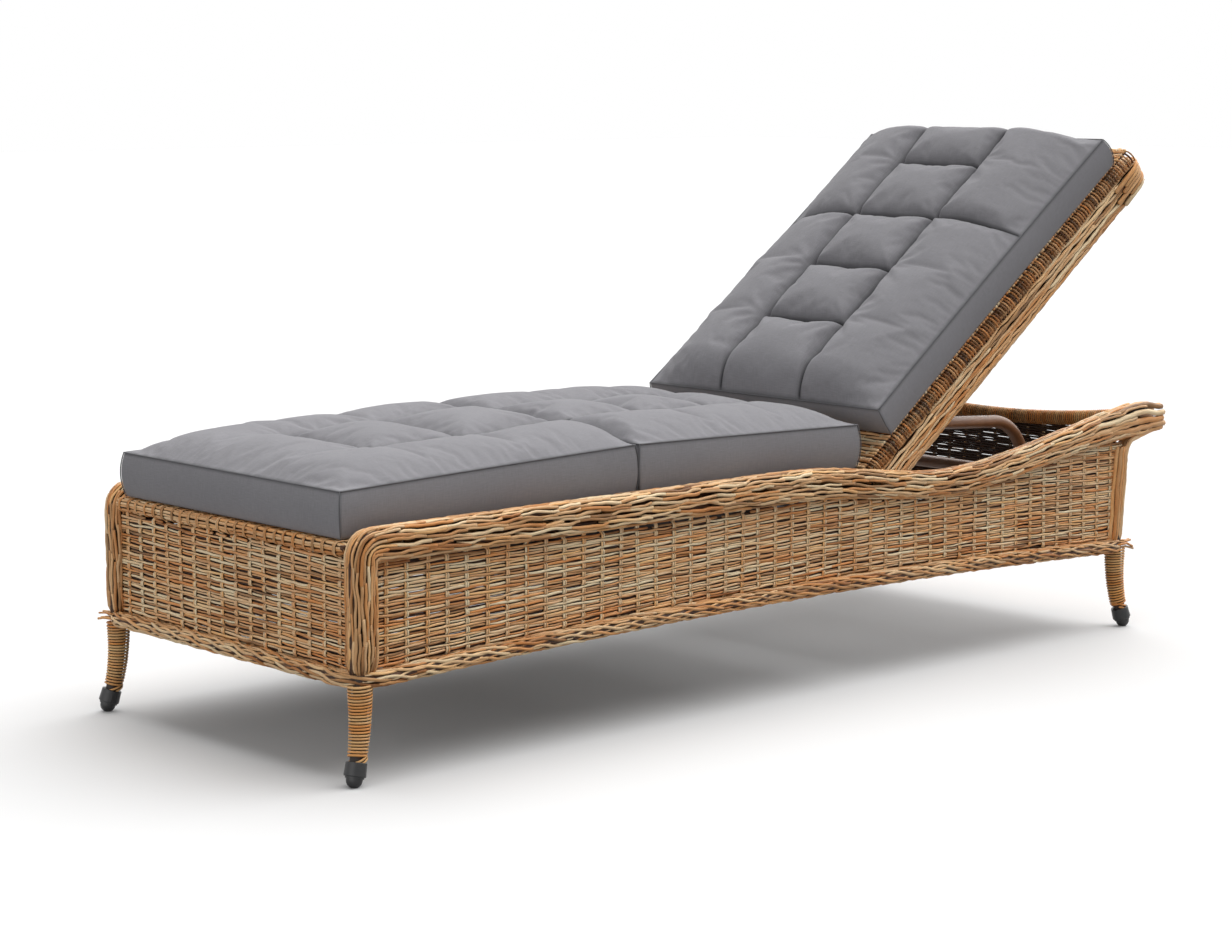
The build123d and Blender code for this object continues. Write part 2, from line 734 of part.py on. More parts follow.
with BuildPart(back_plane) as back_bottom_tube:
    square_tube(
        (bottom_tube_start, -leaf_inner, -tube / 2),
        (bottom_tube_start + tube, leaf_inner, tube / 2),
        "Y",
    )
save(back_bottom_tube, "back_bottom_tube")

with BuildPart(back_plane) as prop_cross_tube:
    square_tube(
        (prop_pivot_along - tube / 2, -stile_inner, -stile_under),
        (prop_pivot_along + tube / 2, stile_inner, -stile_under + tube),
        "Y",
    )
save(prop_cross_tube, "prop_cross_tube")

with BuildPart(back_plane) as back_weave_panel:
    block(
        (back_weave_start, -back_half + back_weave_side_gap, stile_over),
        (back_length - back_weave_end_gap, back_half - back_weave_side_gap, stile_over + back_weave),
    )
save(back_weave_panel, "back_weave_panel")

with BuildPart() as hinge_leaf:
    with BuildSketch(back_side_plane(leaf_inner)):
        Circle(hinge_eye)
        with Locations((leaf_length / 2, 0)):
            Rectangle(leaf_length, 2 * hinge_eye)
        Circle(hinge_pin_radius + hinge_clearance, mode=Mode.SUBTRACT)
        with Locations(*leaf_screw_spots):
            Circle(screw_radius, mode=Mode.SUBTRACT)
    extrude(amount=hinge_plate)
save_pair(hinge_leaf, "hinge_leaf")

with BuildPart() as leaf_screws:
    with BuildSketch(back_side_plane(leaf_inner - screw_head)):
        with Locations(*leaf_screw_spots):
            Circle(screw_head_radius)
    extrude(amount=screw_head)
    with BuildSketch(back_side_plane(leaf_inner)):
        with Locations(*leaf_screw_spots):
            Circle(screw_radius)
    extrude(amount=screw_length)
    mirror(about=Plane.XZ)
save(leaf_screws, "leaf_screws")

# Prop: brackets and pins on the backrest, two bent arms and a foot bar
ear_inner = prop_arm_offset - prop_radius - ear_gap - ear
ear_outer = prop_arm_offset + prop_radius + ear_gap
pivot_spot = (prop_pivot_along, prop_pivot_n)

with BuildPart(back_plane) as prop_bracket:
    block(
        (prop_pivot_along - tube / 2, -ear_outer, -stile_under - ear),
        (prop_pivot_along + tube / 2, -ear_inner - ear, -stile_under),
    )
    for offset in (ear_inner, ear_outer):
        with BuildSketch(back_side_plane(offset)):
            with Locations(pivot_spot):
                Circle(tube / 2)
            with Locations((prop_pivot_along, prop_pivot_n + prop_pivot_drop / 2)):
                Rectangle(tube, prop_pivot_drop)
            with Locations(pivot_spot):
                Circle(prop_pin_radius, mode=Mode.SUBTRACT)
        extrude(amount=ear)
save_pair(prop_bracket, "prop_bracket")

with BuildPart() as prop_pins:
    with BuildSketch(back_side_plane(ear_inner - prop_pin_head)):
        with Locations(pivot_spot):
            Circle(prop_pin_head_radius)
    extrude(amount=prop_pin_head)
    with BuildSketch(back_side_plane(ear_inner)):
        with Locations(pivot_spot):
            Circle(prop_pin_radius)
    extrude(amount=ear_outer + ear - ear_inner)
    mirror(about=Plane.XZ)
save(prop_pins, "prop_pins")

with BuildPart() as prop_foot_bar:
    with BuildSketch(Plane.XZ):
        with Locations((prop_foot.X, prop_foot.Z)):
            Circle(prop_radius)
            Circle(prop_radius - prop_wall, mode=Mode.SUBTRACT)
    extrude(amount=prop_bar_half, both=True)
save(prop_foot_bar, "prop_foot_bar")

with BuildPart() as prop_end_caps:
    with BuildSketch(Plane.XZ.offset(prop_bar_half + cap_end - cap_length)):
        with Locations((prop_foot.X, prop_foot.Z)):
            Circle(cap_radius)
    extrude(amount=cap_length)
    with BuildSketch(Plane.XZ.offset(prop_bar_half + cap_end - cap_length)):
        with Locations((prop_foot.X, prop_foot.Z)):
            Circle(prop_radius)
    extrude(amount=cap_length - cap_end, mode=Mode.SUBTRACT)
    mirror(about=Plane.XZ)
save(prop_end_caps, "prop_end_caps")

arm_plane = Plane.XZ.offset(prop_arm_offset)
with BuildPart() as prop_arm:
    with BuildLine(arm_plane) as arm_line:
        FilletPolyline(
            (prop_pivot.X, prop_pivot.Z),
            (prop_foot.X, prop_elbow_height),
            (prop_foot.X, prop_foot.Z),
            radius=prop_elbow_radius,
        )
    with BuildSketch(Plane(origin=arm_line.line @ 0, z_dir=arm_line.line % 0)):
        Circle(prop_radius)
    sweep(path=arm_line.line)
    with Locations(arm_line.line @ 0):
        Sphere(prop_radius)
    with BuildSketch(arm_plane):
        with Locations((prop_pivot.X, prop_pivot.Z)):
            Circle(prop_pin_radius + hinge_clearance)
        with Locations((prop_foot.X, prop_foot.Z)):
            Circle(prop_radius)
    extrude(amount=2 * prop_radius, both=True, mode=Mode.SUBTRACT)
save_pair(prop_arm, "prop_arm")


# Cushions: boxed pads, crowned, with sewn channels in both directions
def cushion_section(along, half, side, crest, valley):
    """One cross section of a pad, on the plane given, closed below by its flat underside."""
    seam = half - cushion_seam
    edge = half - cushion_tuck
    bulge = half + cushion_bulge
    side_column = (seam + channel_offset) / 2
    channel_right = (channel_offset, side + valley)
    channel_left = (-channel_offset, side + valley)
    with BuildSketch(along) as section:
        with BuildLine():
            Line((-edge, 0), (edge, 0))
            ThreePointArc((edge, 0), (bulge, side / 2), (seam, side))
            ThreePointArc((seam, side), (side_column, side + crest), channel_right)
            ThreePointArc(channel_right, (0, side + crest), channel_left)
            ThreePointArc(channel_left, (-side_column, side + crest), (-seam, side))
            ThreePointArc((-seam, side), (-bulge, side / 2), (-edge, 0))
        make_face()
    return section.sketch.face()


def cushion(name, base, length, side, rows):
    """A quilted pad on its base plane, X along it, with cross channels at the rows."""
    stops = [0.0, *rows, 1.0]
    row_crown = cushion_crown - row_depth
    sections = []
    for start, stop in zip(stops, stops[1:]):
        start_crown = end_crown if start == 0.0 else row_crown
        stop_crown = end_crown if stop == 1.0 else row_crown
        last = cushion_steps + 1 if stop == 1.0 else cushion_steps
        for step in range(last):
            part = step / cushion_steps
            share = start + (stop - start) * part
            seam_crown = start_crown + (stop_crown - start_crown) * part
            fullness = sqrt(sin(pi * part)) if 0 < part < 1 else 0.0
            crest = seam_crown + (cushion_crown - seam_crown) * fullness
            valley = max(crest - channel_depth, end_crown / 2)
            across = Plane(
                origin=base.from_local_coords((length * share, 0, 0)),
                x_dir=base.y_dir,
                z_dir=base.x_dir,
            )
            half = cushion_half - cushion_draw * (1 - (2 * share - 1) ** 2) - cushion_bulge
            sections.append(cushion_section(across, half, side, crest, valley))
    with BuildPart() as pad:
        loft(sections=sections, ruled=True)
    save(pad, name)


cushion_bottom = deck_height + cushion_lift
leg_cushion_x = foot_x + cushion_foot_overhang
seat_cushion_x = leg_cushion_x + leg_cushion_length + cushion_gap
seat_cushion_length = hinge_x - seat_cushion_end_gap - seat_cushion_x
leg_cushion_base = Plane((leg_cushion_x, 0, cushion_bottom))
seat_cushion_base = Plane((seat_cushion_x, 0, cushion_bottom))
cushion("leg_cushion", leg_cushion_base, leg_cushion_length, cushion_side, leg_rows)
cushion("seat_cushion", seat_cushion_base, seat_cushion_length, cushion_side, seat_rows)
back_cushion_n = stile_over + back_weave + cushion_lift
back_cushion_base = Plane(
    origin=back_plane.from_local_coords((back_cushion_start, 0, back_cushion_n)),
    x_dir=back_plane.x_dir,
    z_dir=back_plane.z_dir,
)
cushion("back_cushion", back_cushion_base, back_cushion_length, back_cushion_side, back_rows)

# The prop turns on the backrest at this rate, which keeps its foot bar on the racks
low_rate = (prop_turn(lowest_angle) - prop_turn(rest_angle)) / (lowest_angle - rest_angle)
high_rate = (prop_turn(highest_angle) - prop_turn(rest_angle)) / (highest_angle - rest_angle)
print("prop turn per degree of recline:", low_rate, high_rate)
print("hinge axis:", hinge_x, hinge_height)
print("prop pivot:", prop_pivot.X, prop_pivot.Z)
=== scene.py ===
"""Looks of the reclining sun lounger: cane bundles, wickerwork, bound legs and quilted cushions."""

from __future__ import annotations

import json
import logging
import math
import random
from dataclasses import dataclass
from enum import Enum
from typing import Callable, Iterable, Sequence

import bmesh
import bpy
import numpy as np
from mathutils import Matrix, Vector
from mathutils.bvhtree import BVHTree

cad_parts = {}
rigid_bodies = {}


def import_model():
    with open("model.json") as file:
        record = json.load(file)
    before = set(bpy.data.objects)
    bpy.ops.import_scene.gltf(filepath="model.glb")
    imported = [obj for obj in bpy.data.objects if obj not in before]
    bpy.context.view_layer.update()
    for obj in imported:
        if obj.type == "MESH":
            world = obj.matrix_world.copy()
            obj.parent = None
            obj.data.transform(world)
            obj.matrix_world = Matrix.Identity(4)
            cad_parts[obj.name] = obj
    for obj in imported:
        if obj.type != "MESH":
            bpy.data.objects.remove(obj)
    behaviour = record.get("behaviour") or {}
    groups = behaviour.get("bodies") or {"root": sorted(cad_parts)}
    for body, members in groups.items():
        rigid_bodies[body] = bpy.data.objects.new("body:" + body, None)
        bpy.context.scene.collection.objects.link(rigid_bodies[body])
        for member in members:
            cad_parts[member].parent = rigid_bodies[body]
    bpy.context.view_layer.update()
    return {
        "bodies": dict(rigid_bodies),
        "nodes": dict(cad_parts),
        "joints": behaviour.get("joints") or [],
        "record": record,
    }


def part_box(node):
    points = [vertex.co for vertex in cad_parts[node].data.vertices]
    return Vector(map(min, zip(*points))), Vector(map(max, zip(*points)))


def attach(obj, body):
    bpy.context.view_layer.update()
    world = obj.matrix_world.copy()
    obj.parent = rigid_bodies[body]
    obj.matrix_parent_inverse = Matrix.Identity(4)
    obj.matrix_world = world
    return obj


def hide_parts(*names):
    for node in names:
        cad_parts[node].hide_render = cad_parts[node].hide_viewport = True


log = logging.getLogger("lounger")

Colour = tuple[float, float, float]
Guide = Callable[[float, float, float], Vector]
Level = Callable[[float], float]

MILLIMETRE = 0.001
NEAR = 1e-5
LEAST_CORNER = 0.002
REST_ANGLE = math.radians(37.0)
# The row in which each stake's turn starts, mixed so that the turns don't line up on a slant
FACE_PHASES = (0, 5, 6, 1, 2, 1)


class Body(Enum):
    """The bodies of the frame."""

    BASE = "base"
    BACKREST = "backrest"
    PROP = "prop"


class Slot(Enum):
    """The material slots of the record."""

    CANE = "cane"
    WEAVE = "cane_weave"
    FABRIC = "cushion_fabric"
    TUBE = "frame_tube"
    PROP = "prop_tube"
    BLACK_STEEL = "black_steel"
    STEEL = "steel"
    PLASTIC = "black_plastic"


class Side(Enum):
    """The two long sides, as signs of Y."""

    LEFT = -1
    RIGHT = 1

    @property
    def word(self) -> str:
        """The side's name in a node's name."""
        return self.name.lower()


class Face(Enum):
    """A weave's face: the weft passes in front of a stake in one row of this many."""

    PLAIN = 2
    STAKES = 3

    def weft_in_front(self, stake: int, row: int) -> bool:
        """Whether the weft of this row passes in front of this stake."""
        return (row + FACE_PHASES[stake % len(FACE_PHASES)]) % self.value == 0


class Shader:
    """A material's node tree, with short calls that add and join nodes."""

    def __init__(self, name: str) -> None:
        """Starts a material with a bare Principled surface.

        Args:
            name: The material's name.
        """
        self.material = bpy.data.materials.new(name)
        self.material.use_nodes = True
        self.tree = self.material.node_tree
        self.surface = self.tree.nodes["Principled BSDF"]

    def node(
        self, kind: str, inputs: dict[str | int, object] | None = None, **settings: object
    ) -> bpy.types.Node:
        """Adds a node.

        Args:
            kind: The node's type name.
            inputs: A value or a socket for each input that is set.
            **settings: The node's own properties.

        Returns:
            The new node.
        """
        made = self.tree.nodes.new(kind)
        for key, value in settings.items():
            setattr(made, key, value)
        for key, value in (inputs or {}).items():
            self.feed(made, key, value)
        return made

    def feed(self, node: bpy.types.Node, key: str | int, value: object) -> None:
        """Sets an input of a node, or joins a socket to it.

        Args:
            node: The node.
            key: Its input.
            value: A plain value, or a socket.
        """
        if isinstance(value, bpy.types.NodeSocket):
            self.tree.links.new(value, node.inputs[key])
        else:
            node.inputs[key].default_value = value

    def attribute(self, name: str) -> bpy.types.NodeSocket:
        """The value of a mesh attribute."""
        return self.node("ShaderNodeAttribute", attribute_name=name).outputs["Fac"]

    def math(self, operation: str, first: object, second: object = 0.0) -> bpy.types.NodeSocket:
        """The result of a sum on two values."""
        return self.node("ShaderNodeMath", {0: first, 1: second}, operation=operation).outputs[0]

    def vector(self, x: object, y: object, z: object) -> bpy.types.NodeSocket:
        """A vector from three values."""
        return self.node("ShaderNodeCombineXYZ", {0: x, 1: y, 2: z}).outputs[0]

    def noise(self, place: object, scale: float, detail: float = 2.0) -> bpy.types.NodeSocket:
        """Soft noise from 0 to 1 at a place."""
        return self.node("ShaderNodeTexNoise", {"Vector": place, "Scale": scale, "Detail": detail}).outputs[0]

    def ramp(self, value: object, stops: Sequence[tuple[float, Colour]]) -> bpy.types.NodeSocket:
        """A colour from a run of stops.

        Args:
            value: The value that is looked up.
            stops: Places from 0 to 1, each with its colour.

        Returns:
            The colour socket.
        """
        ramp = self.node("ShaderNodeValToRGB", {0: value})
        elements = ramp.color_ramp.elements
        while len(elements) < len(stops):
            elements.new(0.5)
        for element, (place, colour) in zip(elements, stops):
            element.position = place
            element.color = (*colour, 1.0)
        return ramp.outputs[0]

    def mix(self, share: object, first: object, second: object, blend: str = "MIX") -> bpy.types.NodeSocket:
        """A mix of two colours."""
        inputs = {0: share, 6: first, 7: second}
        return self.node("ShaderNodeMix", inputs, data_type="RGBA", blend_type=blend).outputs[2]

    def bump(self, height: object, strength: float, distance: float) -> None:
        """Gives the surface a bump of this height."""
        inputs = {"Height": height, "Strength": strength, "Distance": distance}
        self.feed(self.surface, "Normal", self.node("ShaderNodeBump", inputs).outputs[0])


@dataclass(frozen=True)
class CaneFinish:
    """Peeled and smoked cane: streaks along each cane, its own tint, and painted shade in its crevices."""

    name: str
    dark: Colour = (0.050, 0.021, 0.009)
    middle: Colour = (0.68, 0.375, 0.165)
    pale: Colour = (1.0, 0.80, 0.51)
    red: Colour = (1.0, 0.74, 0.50)
    roughness: float = 0.44
    gloss: float = 0.25
    # The next four set the painted shade in the crevices between canes: its reach, its darkest share, and
    # where it starts and stops.
    crevice: float = 0.006
    grime: float = 0.04
    grimy_to: float = 0.40
    clean_from: float = 0.68
    red_from: float = 0.42
    red_to: float = 0.66
    tint_apart: float = 40.0
    patches: float = 0.62
    streaks: float = 0.34
    fibres: float = 0.40
    fibre_height: float = 0.0006

    def material(self) -> bpy.types.Material:
        """Builds the material.

        Returns:
            A material that reads the attributes tint, along and turn.
        """
        shader = Shader(self.name)
        tint = shader.attribute("tint")
        along = shader.attribute("along")
        turn = shader.attribute("turn")
        own = shader.math("MULTIPLY", tint, self.tint_apart)
        patches = shader.noise(shader.vector(along, 0.0, own), 14.0, 3.0)
        streaks = shader.noise(shader.vector(along, shader.math("MULTIPLY", turn, 0.9), own), 30.0, 4.0)
        fibres_place = shader.vector(shader.math("MULTIPLY", along, 6.0), turn, own)
        fibres = shader.noise(fibres_place, 9.0, 3.0)
        patch_shift = shader.math("MULTIPLY", shader.math("SUBTRACT", patches, 0.5), self.patches)
        streak_shift = shader.math("MULTIPLY", shader.math("SUBTRACT", streaks, 0.5), self.streaks)
        fibre_shift = shader.math("MULTIPLY", shader.math("SUBTRACT", fibres, 0.5), self.fibres)
        shifts = shader.math("ADD", shader.math("ADD", patch_shift, streak_shift), fibre_shift)
        value = shader.math("ADD", tint, shifts)
        colour = shader.ramp(value, ((0.0, self.dark), (0.5, self.middle), (1.0, self.pale)))
        redness = shader.noise(shader.vector(own, shader.math("MULTIPLY", along, 2.0), 0.0), 1.7, 0.0)
        limits = {"Value": redness, "From Min": self.red_from, "From Max": self.red_to}
        red_share = shader.node("ShaderNodeMapRange", limits).outputs[0]
        colour = shader.mix(red_share, colour, (*self.red, 1.0), "MULTIPLY")
        # Painted shade: ambient occlusion darkens the base colour, most in the crevices between canes.
        open_share = shader.node(
            "ShaderNodeAmbientOcclusion", {"Distance": self.crevice}, samples=4, only_local=True
        ).outputs["AO"]
        limits = {
            "Value": open_share,
            "From Min": self.grimy_to,
            "From Max": self.clean_from,
            "To Min": self.grime,
            "To Max": 1.0,
        }
        shade_factor = shader.node("ShaderNodeMapRange", limits).outputs[0]
        shader.feed(shader.surface, "Base Color", shader.mix(1.0, colour, shade_factor, "MULTIPLY"))
        shader.surface.inputs["Roughness"].default_value = self.roughness
        shader.surface.inputs["Specular IOR Level"].default_value = self.gloss
        shader.bump(fibres, 0.35, self.fibre_height)
        return shader.material


@dataclass(frozen=True)
class FabricFinish:
    """Grey outdoor linen: a fine weave with slubs, with painted shade along its seams."""

    name: str
    colour: Colour = (0.272, 0.267, 0.283)
    # The painted shade's colour, mixed in along the seams and the top edges.
    seam: Colour = (0.030, 0.030, 0.032)
    thread_pitch: float = 0.0013
    roughness: float = 0.92
    gloss: float = 0.05
    sheen: float = 0.12
    contrast: float = 0.20
    seam_power: float = 1.2

    def material(self) -> bpy.types.Material:
        """Builds the material.

        Returns:
            A material that reads the fabric map and the attribute seam.
        """
        shader = Shader(self.name)
        place = shader.node("ShaderNodeUVMap", uv_map="fabric").outputs[0]
        turns = math.tau / (20.0 * self.thread_pitch)
        threads = []
        slubs = []
        for direction, stretch in (("X", (1.0, 0.06, 1.0)), ("Y", (0.06, 1.0, 1.0))):
            wave = shader.node(
                "ShaderNodeTexWave",
                {"Vector": place, "Scale": turns, "Distortion": 1.2, "Detail": 2.0, "Detail Scale": 0.4},
                bands_direction=direction,
            )
            threads.append(wave.outputs["Fac"])
            stretched = shader.node("ShaderNodeMapping", {"Vector": place, "Scale": stretch}).outputs[0]
            slubs.append(shader.noise(stretched, 900.0, 2.0))
        weave = shader.math("MULTIPLY", shader.math("ADD", threads[0], threads[1]), 0.5)
        slub = shader.math("MULTIPLY", shader.math("ADD", slubs[0], slubs[1]), 0.5)
        clouds = shader.noise(place, 7.0, 3.0)
        level = shader.math("ADD", shader.math("MULTIPLY", slub, 0.55), shader.math("MULTIPLY", weave, 0.22))
        level = shader.math("ADD", level, shader.math("MULTIPLY", clouds, 0.16))
        low = tuple(channel * (1 - self.contrast) for channel in self.colour)
        high = tuple(channel * (1 + self.contrast) for channel in self.colour)
        cloth = shader.ramp(level, ((0.28, low), (0.64, high)))
        # Painted shade: the cloth is mixed towards the dark seam colour where the attribute seam is high, as
        # in the quilting's grooves.
        sewn = shader.math("POWER", shader.attribute("seam"), self.seam_power)
        seam_shaded = shader.mix(sewn, cloth, (*self.seam, 1.0))
        shader.feed(shader.surface, "Base Color", seam_shaded)
        shader.surface.inputs["Roughness"].default_value = self.roughness
        shader.surface.inputs["Specular IOR Level"].default_value = self.gloss
        shader.surface.inputs["Sheen Weight"].default_value = self.sheen
        shader.surface.inputs["Sheen Roughness"].default_value = 0.5
        shader.bump(shader.math("ADD", weave, slub), 0.25, 0.0004)
        return shader.material


@dataclass(frozen=True)
class CoatedFinish:
    """A painted or moulded surface with a fine orange peel and rubbed patches."""

    name: str
    colour: Colour
    rubbed: Colour
    roughness: float
    metallic: float = 0.0
    coat: float = 0.0
    grain: float = 900.0

    def material(self) -> bpy.types.Material:
        """Builds the material.

        Returns:
            A material that reads Object coordinates.
        """
        shader = Shader(self.name)
        place = shader.node("ShaderNodeTexCoord").outputs["Object"]
        patches = shader.noise(place, 24.0, 4.0)
        colour = shader.ramp(patches, ((0.35, self.colour), (0.75, self.rubbed)))
        shader.feed(shader.surface, "Base Color", colour)
        gloss = shader.math("MULTIPLY_ADD", patches, 0.2)
        gloss.node.inputs[2].default_value = self.roughness - 0.1
        shader.feed(shader.surface, "Roughness", gloss)
        shader.surface.inputs["Metallic"].default_value = self.metallic
        shader.surface.inputs["Coat Weight"].default_value = self.coat
        shader.surface.inputs["Coat Roughness"].default_value = 0.2
        shader.bump(shader.noise(place, self.grain, 1.0), 0.12, 0.0003)
        return shader.material


@dataclass(frozen=True)
class MattingFinish:
    """Flat cane matting: crossed strips of one width, as on the deck."""

    name: str
    dark: Colour = (0.035, 0.018, 0.009)
    pale: Colour = (0.30, 0.165, 0.072)
    strips_per_metre: float = 70.0

    def material(self) -> bpy.types.Material:
        """Builds the material.

        Returns:
            A material that reads Object coordinates.
        """
        shader = Shader(self.name)
        place = shader.node("ShaderNodeTexCoord").outputs["Object"]
        brick = shader.node(
            "ShaderNodeTexBrick",
            {
                "Vector": place,
                "Scale": self.strips_per_metre,
                "Mortar Size": 0.06,
                "Mortar Smooth": 0.6,
                "Brick Width": 1.0,
                "Row Height": 0.5,
                "Color1": (0.8, 0.8, 0.8, 1.0),
                "Color2": (0.35, 0.35, 0.35, 1.0),
                "Mortar": (0.0, 0.0, 0.0, 1.0),
            },
        )
        grain = shader.noise(place, 300.0, 3.0)
        level = shader.math("MULTIPLY", brick.outputs["Color"], shader.math("ADD", grain, 0.5))
        shader.feed(shader.surface, "Base Color", shader.ramp(level, ((0.0, self.dark), (1.0, self.pale))))
        shader.surface.inputs["Roughness"].default_value = 0.6
        shader.bump(level, 0.6, 0.002)
        return shader.material


class Wander:
    """A smooth random wave, a few sines with phases of their own."""

    def __init__(self, draw: random.Random, reach: float, wavelength: float) -> None:
        """Draws the phases.

        Args:
            draw: The source of random numbers.
            reach: About how far the wave strays.
            wavelength: The length of its slowest sine.
        """
        self.terms = [
            (reach * share, math.tau / (wavelength * stretch), draw.uniform(0.0, math.tau))
            for share, stretch in ((0.6, 1.0), (0.35, 0.53), (0.2, 0.29))
        ]

    def at(self, along: float) -> float:
        """The wave's value at a length along it."""
        return sum(reach * math.sin(rate * along + phase) for reach, rate, phase in self.terms)


@dataclass(frozen=True)
class RoundedOutline:
    """A rectangle with round corners, walked at an even pace."""

    half_width: float
    half_height: float
    corner: float

    @property
    def quarter(self) -> float:
        """The length of a quarter of the outline."""
        return self.half_width + self.half_height + self.corner * (math.pi / 2 - 2)

    @property
    def length(self) -> float:
        """The length of the whole outline."""
        return 4 * self.quarter

    def at(self, share: float) -> tuple[float, float]:
        """A point of the outline.

        Args:
            share: How far round, from the middle of the top edge towards +width.

        Returns:
            Its place across and up.
        """
        quadrant, walked = divmod((share % 1.0) * self.length, self.quarter)
        odd = int(quadrant) % 2 == 1
        across, up = self._first_quarter(self.quarter - walked if odd else walked)
        turned = -1.0 if int(quadrant) >= 2 else 1.0
        return turned * across, turned * (-up if odd else up)

    def _first_quarter(self, walked: float) -> tuple[float, float]:
        """A point between the middle of the top edge and the middle of the side.

        Args:
            walked: The way from the middle of the top edge.

        Returns:
            Its place across and up.
        """
        flat = self.half_width - self.corner
        arc = self.corner * math.pi / 2
        if walked < flat:
            return walked, self.half_height
        if walked < flat + arc:
            angle = (walked - flat) / self.corner
            tall = self.half_height - self.corner
            return flat + self.corner * math.sin(angle), tall + self.corner * math.cos(angle)
        return self.half_width, self.half_height - self.corner - (walked - flat - arc)


UNIT_OUTLINE = RoundedOutline(1.0, 1.0, 0.3)


class Probe:
    """Reads heights off a node of the frame."""

    FAR = 5.0

    def __init__(self, node: bpy.types.Object, y: float) -> None:
        """Readies the node's mesh for casting.

        Args:
            node: The node's object.
            y: Where across the lounger the heights are read.
        """
        corners = [vertex.co for vertex in node.data.vertices]
        faces = [tuple(polygon.vertices) for polygon in node.data.polygons]
        self.tree = BVHTree.FromPolygons(corners, faces)
        self.y = y

    def top(self, x: float) -> float:
        """The node's highest point at x."""
        return self.tree.ray_cast(Vector((x, self.y, self.FAR)), Vector((0, 0, -1)))[0].z

    def bottom(self, x: float) -> float:
        """The node's lowest point at x."""
        return self.tree.ray_cast(Vector((x, self.y, -self.FAR)), Vector((0, 0, 1)))[0].z


class Strands:
    """Canes gathered into one mesh, each with its own tint."""

    BEVEL_STEPS = 1
    RING = 4 + 2 * BEVEL_STEPS

    def __init__(self) -> None:
        """Starts with no canes."""
        self.runs: list[tuple[np.ndarray, np.ndarray, float]] = []

    def lay(
        self,
        points: Sequence[Vector],
        radius: float,
        tint: float,
        tip: float = 0.2,
        taper: tuple[float, float] = (1.0, 1.0),
    ) -> None:
        """Adds a cane.

        Args:
            points: Its centre line.
            radius: Half its thickness.
            tint: From 0, dark, to 1, pale.
            tip: How far its cut ends stand out, as a part of the radius.
            taper: The thickness of its first and last end, as parts of the whole.
        """
        line = np.array([tuple(point) for point in points])
        first = line[0] - line[1]
        last = line[-1] - line[-2]
        start = line[0] + first / np.linalg.norm(first) * radius * tip
        end = line[-1] + last / np.linalg.norm(last) * radius * tip
        radii = np.full(len(line) + 2, radius)
        radii[1], radii[-2] = radius * taper[0], radius * taper[1]
        radii[0] = radii[-1] = 0.0
        self.runs.append((np.vstack((start, line, end)), radii, tint))

    def piece(self, name: str, material: bpy.types.Material) -> bpy.types.Object:
        """Makes the canes one mesh object.

        Args:
            name: The object's name.
            material: Its finish.

        Returns:
            The object, at the origin.
        """
        mesh = self._tubes(name)
        for title, values in self._marks().items():
            attribute = mesh.attributes.new(title, "FLOAT", "POINT")
            attribute.data.foreach_set("value", values.astype(np.float32))
        shape = bmesh.new()
        shape.from_mesh(mesh)
        bmesh.ops.remove_doubles(shape, verts=shape.verts, dist=1e-7)
        for face in shape.faces:
            face.smooth = True
        shape.to_mesh(mesh)
        shape.free()
        mesh.materials.clear()
        mesh.materials.append(material)
        return show(name, mesh)

    def _tubes(self, name: str) -> bpy.types.Mesh:
        """The canes as bevelled curves, turned into a mesh.

        Args:
            name: The mesh's name.

        Returns:
            The mesh.
        """
        curve = bpy.data.curves.new(name, "CURVE")
        curve.dimensions = "3D"
        curve.fill_mode = "FULL"
        curve.bevel_depth = 1.0
        curve.bevel_resolution = self.BEVEL_STEPS
        for line, radii, _ in self.runs:
            spline = curve.splines.new("POLY")
            spline.points.add(len(line) - 1)
            spline.points.foreach_set("co", np.hstack((line, np.ones((len(line), 1)))).ravel())
            spline.points.foreach_set("radius", radii)
        carrier = show(f"{name}_lines", curve)
        carrier_shape = carrier.evaluated_get(bpy.context.evaluated_depsgraph_get())
        mesh = bpy.data.meshes.new_from_object(carrier_shape)
        mesh.name = name
        bpy.data.objects.remove(carrier)
        bpy.data.curves.remove(curve)
        return mesh

    def _marks(self) -> dict[str, np.ndarray]:
        """For each corner of each ring: the cane's tint, the length along it and the turn round it."""
        tints = [np.full(len(line) * self.RING, tint) for line, _, tint in self.runs]
        alongs = []
        for index, (line, _, _) in enumerate(self.runs):
            steps = np.linalg.norm(np.diff(line, axis=0), axis=1)
            along = np.concatenate(((0.0,), np.cumsum(steps))) + 0.7 * index
            alongs.append(np.repeat(along, self.RING))
        around = np.abs(np.linspace(-1.0, 1.0, self.RING, endpoint=False))
        turns = [np.tile(around, len(line)) for line, _, _ in self.runs]
        return {"tint": np.concatenate(tints), "along": np.concatenate(alongs), "turn": np.concatenate(turns)}


def show(name: str, data: bpy.types.ID) -> bpy.types.Object:
    """Puts new data into the scene as an object.

    Args:
        name: The object's name.
        data: What it shows.

    Returns:
        The object.
    """
    shown = bpy.data.objects.new(name, data)
    bpy.context.scene.collection.objects.link(shown)
    return shown


def settle(piece: bpy.types.Object, body: Body, slot: Slot, replaced: Iterable[str] = ()) -> bpy.types.Object:
    """Fits a piece to the frame and reports it.

    Args:
        piece: The finished object.
        body: What it moves with.
        slot: The record's slot for its finish; not used.
        replaced: The nodes that it stands for.

    Returns:
        The piece.
    """
    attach(piece, body.value)
    names = list(replaced)
    if names:
        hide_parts(*names)
    log.info("%s rides %s and stands for %s", piece.name, body.value, ", ".join(names) or "itself")
    return piece


